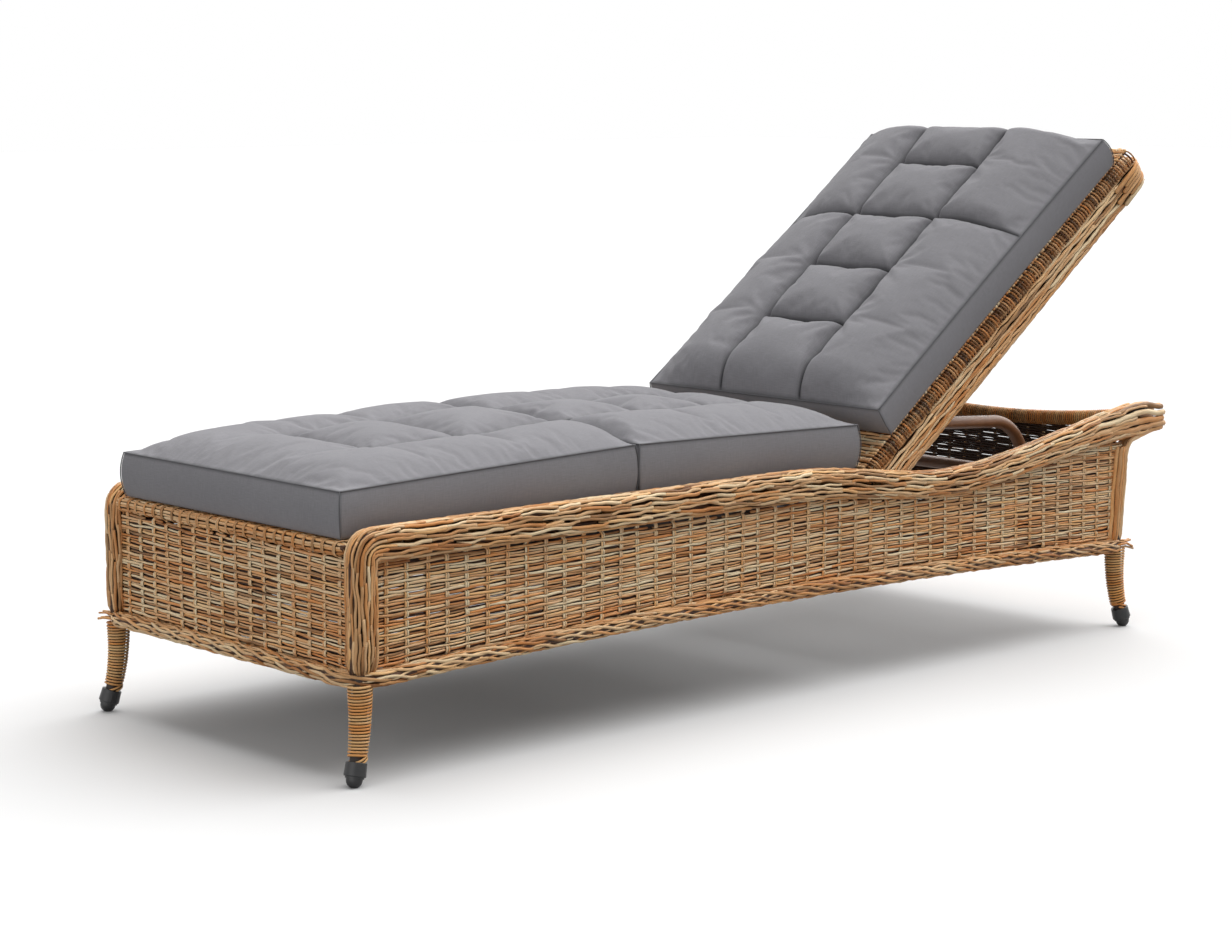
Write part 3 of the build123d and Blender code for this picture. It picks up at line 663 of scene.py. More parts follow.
@dataclass(frozen=True)
class Bundle:
    """How a bundle of canes lies."""

    radius: float = 0.0025
    uneven: float = 0.0004
    pitch: float = 0.0061
    shortest: float = 0.055
    longest: float = 0.110
    overlap: float = 0.015
    wander: float = 0.0030
    wave: float = 0.11
    heave: float = 0.0012
    tuck: float = 0.0055
    taper: float = 0.75
    step: float = 0.010
    plait_reach: float = 0.0
    plait_wave: float = 0.14
    plait_sink: float = 0.0
    palest: float = 1.10
    darkest: float = 0.14
    blunt: bool = False
    finale: float = 0.0
    final_radius: float = 0.0060

    def lay(
        self,
        strands: Strands,
        draw: random.Random,
        guide: Guide,
        outline: float,
        reach: Callable[[float], tuple[float, float]],
    ) -> None:
        """Lays canes side by side round an outline.

        Args:
            strands: Where the canes go.
            draw: The source of random numbers.
            guide: The point at a length along the bundle, a share of the outline and a depth.
            outline: The outline's length.
            reach: For a share of the outline, where its lane starts and ends.
        """
        lanes = round(outline / self.pitch)
        for lane in range(lanes):
            share = lane / lanes
            stray = Wander(draw, self.wander / outline, self.wave)
            heave = Wander(draw, self.heave, self.wave * 0.6)
            first, end = reach(share)
            if self.finale and lane % 2 == 0:
                last = end - self.finale * draw.uniform(0.6, 1.2)
                span = (last, end)
                self._cane(strands, draw, guide, span, share, stray, heave, outline, lane, self.final_radius)
                end = last + 2 * self.overlap
            elif self.finale:
                end -= self.finale * draw.uniform(0.2, 0.5)
            start = first - draw.uniform(0.0, self.shortest)
            while start < end - self.overlap:
                stop = start + draw.uniform(self.shortest, self.longest)
                stop = end if end - stop < self.shortest / 3 else stop
                span = (max(first, start), min(stop, end))
                self._cane(strands, draw, guide, span, share, stray, heave, outline, lane)
                start = stop - self.overlap

    def _cane(
        self,
        strands: Strands,
        draw: random.Random,
        guide: Guide,
        span: tuple[float, float],
        share: float,
        stray: Wander,
        heave: Wander,
        outline: float,
        lane: int,
        thick: float = 0.0,
    ) -> None:
        """Lays one cane of a lane: it comes up from under the one before and ends on top of the next.

        Args:
            strands: What it is laid into.
            draw: Where chance comes from.
            guide: The surface that it follows.
            span: Where it starts and stops.
            share: Its place round the outline.
            stray: How it wanders sideways.
            heave: How it wanders up and down.
            outline: The way round the bundle.
            lane: The number of its lane.
            thick: Its radius, if not the bundle's own.
        """
        start, stop = span
        radius = (thick or self.radius) + draw.uniform(-self.uneven, self.uneven)
        tint = draw.triangular(self.darkest, self.palest)
        shift = draw.uniform(-0.3, 0.3) * self.pitch / outline
        steps = max(3, math.ceil((stop - start) / self.step))
        if stop - start < 4 * radius:
            return
        points = []
        for index in range(steps + 1):
            along = start + (stop - start) * index / steps
            phase = math.tau * along / self.plait_wave + math.pi * lane
            buried = max(0.0, 1.0 - (along - start) / (1.6 * self.overlap))
            depth = radius + abs(heave.at(along)) + self.tuck * buried * buried
            depth += self.plait_sink * (0.5 + 0.5 * math.cos(phase))
            place = share + shift + stray.at(along) + self.plait_reach / outline * math.sin(phase)
            points.append(guide(along, place, depth))
        strands.lay(points, radius, tint, taper=(self.taper, 1.0 if thick or self.blunt else self.taper))


@dataclass(frozen=True)
class RailBundles:
    """The top rails, whose canes come up the foot posts, turn over and run out to the horns."""

    bundle: Bundle = Bundle(
        radius=0.0029,
        uneven=0.0006,
        pitch=0.0074,
        shortest=0.05,
        longest=0.11,
        wander=0.0030,
        wave=0.13,
        blunt=True,
        finale=0.22,
    )
    corner: float = 0.046
    rounding: float = 0.016
    cut_back: float = 0.016
    cut_uneven: float = 0.011
    core_radius: float = 0.0110
    into_rim: float = 0.004
    least_bend: float = 0.006
    probe_step: float = 0.012

    def build(self, frame: dict, side: Side, finish: bpy.types.Material) -> bpy.types.Object:
        """Builds one rail with its foot post.

        Args:
            frame: The loaded frame.
            side: The long side that it is on.
            finish: The cane's finish.

        Returns:
            The piece.
        """
        rail = f"side_rail_{side.word}"
        post = f"corner_post_foot_{side.word}"
        low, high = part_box(rail)
        post_low, post_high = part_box(post)
        middle = (low.y + high.y) / 2
        probe = Probe(frame["nodes"][rail], middle)
        stations = np.arange(post_high.x, high.x - self.cut_back, self.probe_step)
        tops = np.array([probe.top(x) for x in stations])
        bottoms = np.array([probe.bottom(x) for x in stations])
        level_top, level_bottom = tops[0], bottoms[0]
        depth = level_top - level_bottom
        post_depth = post_high.x - post_low.x
        foot = post_low.z - self.into_rim

        def lane(along: float, share: float, inset: float) -> Vector:
            """A point of the rail: up the post, over the corner and along."""
            outline = RoundedOutline((high.y - low.y) / 2 - inset, depth / 2 - inset, self.rounding - inset)
            across, up = outline.at(share)
            sunk = 0.5 - up / depth
            upright_x = post_low.x + sunk * post_depth
            level_z = level_top - sunk * depth
            bend = max(self.corner - sunk * depth, self.least_bend)
            rise = level_z - bend - foot
            y = middle - side.value * across
            if along < rise:
                return Vector((upright_x, y, foot + along))
            turned = (along - rise) / bend
            if turned < math.pi / 2:
                x = upright_x + bend * (1 - math.cos(turned))
                return Vector((x, y, level_z - bend + bend * math.sin(turned)))
            x = upright_x + bend + along - rise - bend * math.pi / 2
            local_top = float(np.interp(x, stations, tops))
            local_bottom = float(np.interp(x, stations, bottoms))
            return Vector((x, y, local_top - sunk * (local_top - local_bottom)))

        draw = random.Random(rail)
        overall = (level_top - foot) + (high.x - post_low.x) - self.corner * (2 - math.pi / 2)

        def reach(share: float) -> tuple[float, float]:
            """Where a lane starts and where it is cut at the horn."""
            sunk = 0.5 - UNIT_OUTLINE.at(share)[1] / 2
            return 0.0, overall - self.cut_back - draw.uniform(0.0, self.cut_uneven) - sunk * depth

        strands = Strands()
        outline = RoundedOutline((high.y - low.y) / 2, depth / 2, self.rounding).length
        self.bundle.lay(strands, draw, lane, outline, reach)
        # Two dark cores inside the bundle, at tint 0: painted shade that shows through the gaps between the
        # canes.
        for share in (0.0, 0.5):
            inset = self.core_radius + self.bundle.radius
            span = overall - depth - self.cut_back
            steps = math.ceil(span / self.probe_step)
            core = [lane(span * index / steps, share, inset) for index in range(steps + 1)]
            strands.lay(core, self.core_radius, 0.0)
        piece = strands.piece(f"rail_canes_{side.word}", finish)
        return settle(piece, Body.BASE, Slot.CANE, (rail, post))


@dataclass(frozen=True)
class HeadPosts:
    """The head posts, whose outer canes turn out under the horn."""

    bundle: Bundle = Bundle(radius=0.0044, pitch=0.0088, wander=0.0016, shortest=0.16, longest=0.40)
    lean: float = math.radians(5.0)
    rounding: float = 0.010
    bend: float = 0.034
    into_rim: float = 0.012
    horn_reach: float = 0.085
    horn_uneven: float = 0.012
    horn_slope: float = math.radians(12.0)
    short_of_top: float = 0.016
    core_radius: float = 0.009
    core_share: float = 0.9
    core_steps: int = 12

    def build(self, frame: dict, side: Side, finish: bpy.types.Material) -> bpy.types.Object:
        """Builds one head post.

        Args:
            frame: The loaded frame.
            side: The long side that it is on.
            finish: The cane's finish.

        Returns:
            The piece.
        """
        node = f"corner_post_head_{side.word}"
        low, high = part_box(node)
        rim_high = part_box("bottom_rim_head")[1]
        middle_y = (low.y + high.y) / 2
        half_width = (high.y - low.y) / 2
        probe = Probe(frame["nodes"][f"side_rail_{side.word}"], middle_y)
        shift = (high.z - rim_high.z) * math.tan(self.lean)
        half_length = (high.x - shift - low.x) / 2
        middle_x = low.x + half_length
        foot = rim_high.z - self.into_rim

        def lane(along: float, share: float, inset: float) -> Vector:
            """A point of the post: up its lean, then out along the horn's underside."""
            outline = RoundedOutline(half_width - inset, half_length - inset, self.rounding - inset / 2)
            across, out = outline.at(share)
            x = middle_x + out
            z = foot + along
            under = probe.bottom(min(max(x + shift * 0.8, low.x), high.x))
            turn_z = under - self.bend * (1 - math.sin(self.horn_slope)) - inset
            x += (min(z, turn_z) - foot) * math.tan(self.lean)
            if z > turn_z:
                turned = min((z - turn_z) / self.bend, math.pi / 2 - self.horn_slope)
                x += self.bend * (1 - math.cos(turned))
                further = z - turn_z - turned * self.bend
                x += further * math.cos(self.horn_slope)
                z = turn_z + self.bend * math.sin(turned) + further * math.sin(self.horn_slope)
            return Vector((x, middle_y - side.value * across, z))

        height = high.z - foot
        draw = random.Random(node)

        def reach(share: float) -> tuple[float, float]:
            """Canes on the head face run out under the horn, the others stop in the rail."""
            if UNIT_OUTLINE.at(share)[1] <= 0.6:
                return 0.0, height - self.short_of_top
            return 0.0, height + self.horn_reach + draw.uniform(-self.horn_uneven, self.horn_uneven)

        strands = Strands()
        outline = RoundedOutline(half_width, half_length, self.rounding).length
        self.bundle.lay(strands, draw, lane, outline, reach)
        # A dark core at tint 0: painted shade that shows through the gaps between the canes.
        inset = half_width - MILLIMETRE
        step = height * self.core_share / self.core_steps
        core = [lane(step * index, 0.25, inset) for index in range(self.core_steps + 1)]
        strands.lay(core, self.core_radius, 0.0)
        piece = strands.piece(f"head_post_canes_{side.word}", finish)
        return settle(piece, Body.BASE, Slot.CANE, (node,))


@dataclass(frozen=True)
class BottomRim:
    """The plaited border round the foot of the wickerwork."""

    bundle: Bundle = Bundle(
        wander=0.0010,
        plait_reach=0.0062,
        plait_wave=0.120,
        plait_sink=0.0022,
        shortest=0.12,
        longest=0.26,
    )
    corner: float = 0.034
    rounding: float = 0.011
    core_radius: float = 0.0098
    core_step: float = 0.02
    tails: int = 6
    tail_length: float = 0.008
    tail_hidden: float = 0.05
    tail_bent: float = 0.012
    tail_sway: float = 0.003
    tail_stray: float = 0.006
    tail_rise: float = 0.004

    def build(self, frame: dict, finish: bpy.types.Material) -> bpy.types.Object:
        """Builds the whole border.

        Args:
            frame: The loaded frame.
            finish: The cane's finish.

        Returns:
            The piece.
        """
        left_low, left_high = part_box("bottom_rim_left")
        right_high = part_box("bottom_rim_right")[1]
        foot_low, foot_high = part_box("bottom_rim_foot")
        width = foot_high.x - foot_low.x
        height = foot_high.z - foot_low.z
        middle_x = (left_low.x + left_high.x) / 2
        half_length = (left_high.x - left_low.x - width) / 2
        half_width = (right_high.y - left_low.y - width) / 2
        loop = RoundedOutline(half_length, half_width, self.corner)
        probe = Probe(frame["nodes"]["bottom_rim_left"], left_low.y + width / 2)
        ends = (left_low.x + width, left_high.x - width)

        def lane(along: float, share: float, inset: float) -> Vector:
            """A point of the border, on the loop and its outline."""
            corner = max(self.rounding - inset, LEAST_CORNER)
            across, up = RoundedOutline(width / 2 - inset, height / 2 - inset, corner).at(share)
            x, y = loop.at(along / loop.length)
            ahead_x, ahead_y = loop.at(along / loop.length + 1e-4)
            ahead = Vector((ahead_x - x, ahead_y - y, 0)).normalized()
            out = Vector((ahead.y, -ahead.x, 0))
            sign = 1.0 if out.dot(Vector((x, y, 0))) > 0 else -1.0
            inside = min(max(middle_x + x, ends[0]), ends[1])
            top = probe.top(inside)
            return Vector((middle_x + x, y, top - height / 2 + up)) + out * sign * across

        draw = random.Random("bottom rim")
        strands = Strands()
        section = RoundedOutline(width / 2, height / 2, self.rounding).length
        self.bundle.lay(strands, draw, lane, section, lambda share: (0.0, loop.length))
        # Two dark cores at tint 0: painted shade that shows through the gaps between the canes.
        steps = math.ceil(loop.length / self.core_step)
        for share in (0.25, 0.75):
            inset = self.core_radius + self.bundle.radius
            core = [lane(loop.length * index / steps, share, inset) for index in range(steps + 1)]
            strands.lay(core, self.core_radius, 0.0)
        section = (width, height, foot_low.z)
        along_x, along_y = Vector((1, 0, 0)), Vector((0, 1, 0))
        self._ragged_ends(strands, draw, Vector((left_low.x, right_high.y, 0)), along_y, along_x, section)
        self._ragged_ends(strands, draw, Vector((left_high.x, left_low.y, 0)), along_x, along_y, section)
        piece = strands.piece("bottom_rim_plait", finish)
        names = [f"bottom_rim_{word}" for word in ("left", "right", "foot", "head")]
        return settle(piece, Body.BASE, Slot.CANE, names)

    def _ragged_ends(
        self,
        strands: Strands,
        draw: random.Random,
        corner: Vector,
        out: Vector,
        inward: Vector,
        section: tuple[float, float, float],
    ) -> None:
        """Lays cut cane ends that stand out past a corner.

        Args:
            strands: Where the canes go.
            draw: The source of random numbers.
            corner: The border's outer corner.
            out: The way that the ends stand out.
            inward: The way across the border.
            section: The border's width, its height and its lower edge.
        """
        width, height, low = section
        for index in range(self.tails):
            place = corner + inward * width * (0.15 + 0.5 * index / self.tails)
            place.z = low + height * draw.uniform(0.2, 0.85)
            further = draw.uniform(0.35, 1.0) * self.tail_length * 0.6
            start = place + inward * self.tail_stray - out * self.tail_hidden
            sway = draw.uniform(-self.tail_sway, self.tail_sway)
            middle = place - out * self.tail_bent + Vector((0, 0, sway))
            end = place - inward * draw.uniform(0.0, self.tail_stray) + out * further
            end.z += draw.uniform(-self.tail_stray, self.tail_rise)
            radius = self.bundle.radius * draw.uniform(0.7, 1.0)
            strands.lay([start, middle, end], radius, draw.uniform(0.3, 0.8))


@dataclass(frozen=True)
class Wickerwork:
    """A woven panel: stakes with weft over and under them."""

    stake_pitch: float = 0.0400
    row_pitch: float = 0.0050
    pair_share: float = 0.92
    stake_radius: float = 0.0020
    stake_pair: float = 0.0036
    weft_radius: float = 0.0021
    # Painted shade: a dark cane behind each slit between rows of weft.
    filler_radius: float = 0.0022
    filler_depth: float = 0.0018
    filler_tint: float = -0.40
    weft_uneven: float = 0.0005
    stray: float = 0.0009
    jitter: float = 0.0013
    bow: float = 0.0014
    face: Face = Face.STAKES
    shortest: float = 0.02
    longest: float = 0.08
    tilt: float = 0.040
    steps_per_stake: int = 6
    stake_tint: tuple[float, float] = (0.62, 1.00)
    weft_tint: tuple[float, float] = (0.22, 1.10)
    stake_back: float = 0.0022
    stake_front: float = 0.0030
    stake_lean: float = 0.002
    stake_shake: float = 0.0003
    stake_past: float = 0.004
    weft_front: float = 0.42
    weft_back: float = 0.06
    filler_step: float = 0.024
    drift_wave: float = 0.35
    tail_start: float = 0.012

    def weave(
        self,
        strands: Strands,
        draw: random.Random,
        place: Callable[[float, float, float], Vector],
        ends: tuple[float, float],
        bottom: Level,
        top: Level,
        packed_to: float | None = None,
        gap: Level = lambda across: 0.0,
        tail: Sequence[tuple[float, float]] = (),
        lean: float = 0.0,
    ) -> None:
        """Weaves a panel.

        Args:
            strands: Where the canes go.
            draw: The source of random numbers.
            place: The point at a length across, a height and a distance off the panel's middle.
            ends: Where the panel starts and stops across.
            bottom: The panel's lower edge at a length across.
            top: Its upper edge.
            packed_to: The rows are packed between both edges up to here, and keep their pitch after it.
            gap: How far the weft stops short of the upper edge.
            tail: Steps out and back that each row takes past both ends.
            lean: How far the far end moves out for each unit of height.
        """
        start, stop = ends
        count = max(2, round((stop - start) / self.stake_pitch))
        stakes = [start + (stop - start) * (index + 0.5) / count for index in range(count)]
        first_height = top(start) - gap(start) - bottom(start)
        rows = 2 * max(1, round(first_height / self.row_pitch / 2))
        limit = stop if packed_to is None else packed_to

        def row_height(across: float, row: int) -> float:
            """The height of a row at a length across; rows lie in pairs."""
            held = min(across, limit)
            pitch = (top(held) - gap(held) - bottom(held)) / rows
            pair, second = divmod(row, 2)
            return bottom(across) + (2 * pair + 1 + (second - 0.5) * self.pair_share) * pitch

        def edge(across: float) -> float:
            """The height that the weft stays under."""
            return top(across) - gap(across)

        self._stakes(strands, draw, place, stakes, bottom, top, row_height)
        most = rows
        while row_height(stop, most) < top(stop) - self.weft_radius:
            most += 1
        for row in range(most):
            reach = (start, stop + lean * (row_height(stop, row) - bottom(stop)))
            self._row(strands, draw, place, reach, stakes, row, row_height, edge, tail)
            self._filler(strands, place, reach, row, row_height, edge)

    def _filler(
        self,
        strands: Strands,
        place: Callable[[float, float, float], Vector],
        ends: tuple[float, float],
        row: int,
        row_height: Callable[[float, int], float],
        top: Level,
    ) -> None:
        """Lays a dark cane between two rows of weft, a little behind them: painted shade that fills the slit
        between the rows.

        Args:
            strands: What it is laid into.
            place: Gives a point of the panel.
            ends: Where it starts and stops.
            row: The upper row.
            row_height: Gives the height of a row.
            top: The height that it stays under.
        """
        run: list[Vector] = []
        count = max(8, round((ends[1] - ends[0]) / self.filler_step))
        for step in range(count + 1):
            across = ends[0] + (ends[1] - ends[0]) * step / count
            height = (row_height(across, row - 1) + row_height(across, row)) / 2
            if height > top(across) - self.filler_radius:
                self._end_run(strands, run, self.filler_radius, self.filler_tint)
                run = []
            else:
                run.append(place(across, height, -self.filler_depth))
        self._end_run(strands, run, self.filler_radius, self.filler_tint)

    def _stakes(
        self,
        strands: Strands,
        draw: random.Random,
        place: Callable[[float, float, float], Vector],
        stakes: Sequence[float],
        bottom: Level,
        top: Level,
        row_height: Callable[[float, int], float],
    ) -> None:
        """Lays the stakes, two canes each, bent a little by the weft.

        Args:
            strands: What they are laid into.
            draw: Where chance comes from.
            place: Gives a point of the panel.
            stakes: Where they stand.
            bottom: The panel's lower edge.
            top: Its upper edge.
            row_height: Gives the height of a row.
        """
        for number, across in enumerate(stakes):
            lean = draw.uniform(-self.stake_lean, self.stake_lean)
            for pair in (-0.5, 0.5):
                tint = draw.uniform(*self.stake_tint)
                low, high = bottom(across) - self.stake_past, top(across) + self.stake_past
                points = [place(across + pair * self.stake_pair, low, 0.0)]
                row = 0
                while row_height(across, row) < high - self.stake_past / 2:
                    behind = self.face.weft_in_front(number, row)
                    off = -self.stake_back if behind else self.stake_front
                    shift = pair * self.stake_pair + lean * row / 18
                    shift += draw.uniform(-self.stake_shake, self.stake_shake)
                    points.append(place(across + shift, row_height(across, row), off))
                    row += 1
                points.append(place(across + pair * self.stake_pair + lean, high, 0.0))
                strands.lay(points, self.stake_radius, tint)

    def _row(
        self,
        strands: Strands,
        draw: random.Random,
        place: Callable[[float, float, float], Vector],
        ends: tuple[float, float],
        stakes: Sequence[float],
        row: int,
        row_height: Callable[[float, int], float],
        top: Level,
        tail: Sequence[tuple[float, float]],
    ) -> None:
        """Lays one row of weft, in canes that end behind the stakes.

        Args:
            strands: What it is laid into.
            draw: Where chance comes from.
            place: Gives a point of the panel.
            ends: Where it starts and stops.
            stakes: Where the stakes stand.
            row: Its number.
            row_height: Gives the height of a row.
            top: The height that it stays under.
            tail: How its ends turn in, as steps across and off the panel.
        """
        pitch = stakes[1] - stakes[0]
        over = self.stake_radius + self.weft_radius
        drift = Wander(draw, self.stray, self.drift_wave)
        run: list[Vector] = []
        run_length = draw.uniform(self.shortest, self.longest)
        radius = self.weft_radius + draw.uniform(-self.weft_uneven, self.weft_uneven)
        tint = draw.uniform(*self.weft_tint)
        slope, begun = draw.uniform(-0.2, 1.0) * self.tilt, ends[0]
        cells = len(stakes) + 2
        for cell in range(cells):
            left_off = self._off(cell - 1, row, over)
            right_off = self._off(cell, row, over)
            lift = draw.uniform(-self.jitter, self.jitter)
            for step in range(self.steps_per_stake):
                part = step / self.steps_per_stake
                across = stakes[0] + (cell - 1 + part) * pitch
                if not ends[0] <= across <= ends[1]:
                    continue
                begun = begun if run else across
                height = row_height(across, row) + drift.at(across) + lift * math.sin(math.pi * part)
                height += slope * (across - begun - run_length / 2)
                blocked = height > top(across) - radius * 0.6
                if blocked:
                    self._end_run(strands, run, radius, tint)
                    run = []
                    continue
                ease = part * part * (3 - 2 * part)
                off = left_off + (right_off - left_off) * ease + self.bow * math.sin(math.pi * part)
                run.append(place(across, height, off))
            long_enough = len(run) * pitch / self.steps_per_stake > run_length
            if long_enough and right_off < 0 and cell < cells - 3:
                ease_point = stakes[0] + cell * pitch
                run.append(place(ease_point, row_height(ease_point, row) + drift.at(ease_point), right_off))
                self._end_run(strands, run, radius, tint)
                run = []
                run_length = draw.uniform(self.shortest, self.longest)
                radius = self.weft_radius + draw.uniform(-self.weft_uneven, self.weft_uneven)
                tint = draw.uniform(*self.weft_tint)
                slope, begun = draw.uniform(-0.2, 1.0) * self.tilt, ease_point
        self._end_run(strands, run, radius, tint)
        for end, sign in ((ends[0], -1.0), (ends[1], 1.0)) if tail else ():
            height = row_height(end, row)
            points = [place(end - sign * self.tail_start, height, 0.0)]
            points += [place(end + sign * out, height + drift.at(end), off) for out, off in tail]
            strands.lay(points, self.weft_radius * draw.uniform(0.45, 0.65), draw.uniform(0.0, 0.45))

    def _off(self, stake: int, row: int, over: float) -> float:
        """How far the weft stands off the panel's middle at a stake."""
        return over * (self.weft_front if self.face.weft_in_front(stake, row) else -self.weft_back)

    @staticmethod
    def _end_run(strands: Strands, run: Sequence[Vector], radius: float, tint: float) -> None:
        """Lays a cane of the weft if it is long enough to see."""
        if len(run) > 3:
            strands.lay(run, radius, tint)


@dataclass(frozen=True)
class SidePanels:
    """The woven long sides, with a shadow gap of bare stakes under the rail."""

    wickerwork: Wickerwork = Wickerwork()
    widest_gap: float = 0.0045
    post_lean: float = math.radians(5.0)
    gap_middle: float = 0.62
    gap_end: float = 0.12
    past_post: float = 0.026
    level_to: float = 0.25

    def build(self, frame: dict, side: Side, finish: bpy.types.Material) -> bpy.types.Object:
        """Builds one long side.

        Args:
            frame: The loaded frame.
            side: Which long side.
            finish: The cane's finish.

        Returns:
            The piece.
        """
        node = f"side_panel_{side.word}"
        low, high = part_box(node)
        middle = (low.y + high.y) / 2
        rail = Probe(frame["nodes"][f"side_rail_{side.word}"], middle)
        rim = Probe(frame["nodes"][f"bottom_rim_{side.word}"], middle)
        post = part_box(f"corner_post_head_{side.word}")[0]
        hinge = Vector(frame["joints"][0]["pos_m"])
        ends = (low.x, post.x + self.past_post)
        level_end = hinge.x - self.level_to

        def gap(x: float) -> float:
            """The weft's distance from the rail, widest past mid length and closed near the hinge."""
            share = (x - ends[0]) / (hinge.x - self.gap_end - ends[0])
            if not 0.0 < share < 1.0:
                return 0.0
            rise = share / self.gap_middle if share < self.gap_middle else (1 - share) / (1 - self.gap_middle)
            return self.widest_gap * math.sin(rise * math.pi / 2)

        strands = Strands()
        draw = random.Random(node)
        self.wickerwork.weave(
            strands,
            draw,
            lambda across, height, off: Vector((across, middle + side.value * off, height)),
            ends,
            lambda across: rim.top(min(across, post.x)),
            lambda across: rail.bottom(min(across, post.x)),
            packed_to=level_end,
            gap=gap,
            lean=math.tan(self.post_lean),
        )
        piece = strands.piece(f"side_weave_{side.word}", finish)
        return settle(piece, Body.BASE, Slot.WEAVE, (node,))


@dataclass(frozen=True)
class EndPanels:
    """The woven foot and head ends."""

    wickerwork: Wickerwork = Wickerwork()
    lean: float = math.radians(5.0)
    foot_gap: float = 0.002
    into_roll: float = 0.014

    def foot(self, finish: bpy.types.Material) -> bpy.types.Object:
        """Builds the foot end.

        Args:
            finish: The cane's finish.

        Returns:
            The piece.
        """
        low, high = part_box("foot_panel")
        middle = (low.x + high.x) / 2
        strands = Strands()
        self.wickerwork.weave(
            strands,
            random.Random("foot panel"),
            lambda across, height, off: Vector((middle - off, across, height)),
            (low.y, high.y),
            lambda across: low.z,
            lambda across: high.z,
            gap=lambda across: self.foot_gap,
        )
        piece = strands.piece("foot_weave", finish)
        return settle(piece, Body.BASE, Slot.WEAVE, ("foot_panel",))

    def head(self, finish: bpy.types.Material) -> bpy.types.Object:
        """Builds the head end, which leans out and dips in the middle.

        Args:
            finish: The cane's finish.

        Returns:
            The piece.
        """
        low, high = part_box("head_panel")
        roll_low, roll_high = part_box("head_roll")
        dip = roll_low.z
        thickness = (high.x - low.x) - (high.z - low.z) * math.tan(self.lean)
        middle = low.x + thickness / 2
        rise = high.z - dip - (roll_high.z - high.z)

        def top(across: float) -> float:
            """The roll's underside."""
            return dip + rise * (across / high.y) ** 2 + self.into_roll

        def place(across: float, height: float, off: float) -> Vector:
            """A point of the leaning panel."""
            return Vector((middle + (height - low.z) * math.tan(self.lean) + off, across, height))

        strands = Strands()
        self.wickerwork.weave(
            strands,
            random.Random("head panel"),
            place,
            (low.y, high.y),
            lambda across: low.z,
            top,
        )
        piece = strands.piece("head_weave", finish)
        return settle(piece, Body.BASE, Slot.WEAVE, ("head_panel",))


@dataclass(frozen=True)
class Binding:
    """Fine cane wound tightly round a core."""

    radius: float = 0.0020
    pitch: float = 0.0051
    uneven: float = 0.0004
    points_per_turn: int = 14
    tint: tuple[float, float] = (0.50, 0.84)
    turns_per_tint: int = 4

    def wind(
        self,
        strands: Strands,
        draw: random.Random,
        axis: Callable[[float], tuple[Vector, Vector, Vector, float]],
        length: float,
    ) -> None:
        """Winds cane along an axis.

        Args:
            strands: Where the cane goes.
            draw: The source of random numbers.
            axis: For a share of the length, the centre, two square directions and the outer radius.
            length: The axis's length.
        """
        turns = length / self.pitch
        total = int(turns * self.points_per_turn)
        per_run = self.turns_per_tint * self.points_per_turn
        for first in range(0, total, per_run):
            last = min(first + per_run, total)
            points = []
            for index in range(first, last + 1):
                angle = math.tau * index / self.points_per_turn
                share = min(max((index + draw.uniform(-1, 1) * self.uneven / self.pitch) / total, 0.0), 1.0)
                centre, one, two, outer = axis(share)
                reach = outer - self.radius + draw.uniform(-self.uneven, self.uneven) * 0.5
                points.append(centre + (one * math.cos(angle) + two * math.sin(angle)) * reach)
            if len(points) > 3:
                strands.lay(points, self.radius, draw.uniform(*self.tint), tip=0.1)


@dataclass(frozen=True)
class BoundLegs:
    """The sabre legs, bound from the rim to the ferrule."""

    binding: Binding = Binding()
    levels: int = 16
    in_ferrule: float = 0.005
    into_rim: float = 0.008
    below_top: float = 0.0005
    core_inset: float = 1.5

    def build(self, frame: dict, end: str, side: Side, finish: bpy.types.Material) -> bpy.types.Object:
        """Builds one leg's binding.

        Args:
            frame: The loaded frame.
            end: The end of the lounger, foot or head.
            side: Its long side.
            finish: The cane's finish.

        Returns:
            The piece.
        """
        node = f"leg_wrap_{end}_{side.word}"
        centres, radii = self._axis(frame["nodes"][node])
        strands = Strands()
        steps = [(centres[index + 1] - centres[index]).length for index in range(len(centres) - 1)]

        def axis(share: float) -> tuple[Vector, Vector, Vector, float]:
            """The leg's centre, two square directions and its radius."""
            place = share * (len(centres) - 1)
            index = min(int(place), len(centres) - 2)
            part = place - index
            centre = centres[index].lerp(centres[index + 1], part)
            down = (centres[index + 1] - centres[index]).normalized()
            one = down.cross(Vector((0, 1, 0))).normalized()
            outer = radii[index] + (radii[index + 1] - radii[index]) * part
            return centre, one, down.cross(one), outer

        self.binding.wind(strands, random.Random(node), axis, sum(steps))
        # A dark core at tint 0 inside the binding: painted shade that shows between the turns.
        inner = [centre.copy() for centre in centres]
        strands.lay(inner, min(radii) - self.core_inset * self.binding.radius, 0.0)
        piece = strands.piece(f"leg_binding_{end}_{side.word}", finish)
        return settle(piece, Body.BASE, Slot.CANE, (node,))

    def _axis(self, node: bpy.types.Object) -> tuple[list[Vector], list[float]]:
        """Cuts the node at even heights.

        Args:
            node: The leg's object.

        Returns:
            The centre and the radius of each cut, from the top down.
        """
        heights = [vertex.co.z for vertex in node.data.vertices]
        low, high = min(heights), max(heights)
        centres = []
        radii = []
        for level in range(self.levels):
            height = high - self.below_top - (high - low - self.in_ferrule) * level / (self.levels - 1)
            shape = bmesh.new()
            shape.from_mesh(node.data)
            cut = bmesh.ops.bisect_plane(
                shape,
                geom=shape.verts[:] + shape.edges[:] + shape.faces[:],
                plane_co=(0, 0, height),
                plane_no=(0, 0, 1),
            )["geom_cut"]
            ring = np.array([tuple(part.co) for part in cut if isinstance(part, bmesh.types.BMVert)])
            shape.free()
            outer = (ring.max(axis=0) + ring.min(axis=0)) / 2
            centres.append(Vector(outer))
            radii.append(float((ring.max(axis=0) - ring.min(axis=0))[1]) / 2)
        return [centres[0] + Vector((0, 0, self.into_rim)), *centres], [radii[0], *radii]


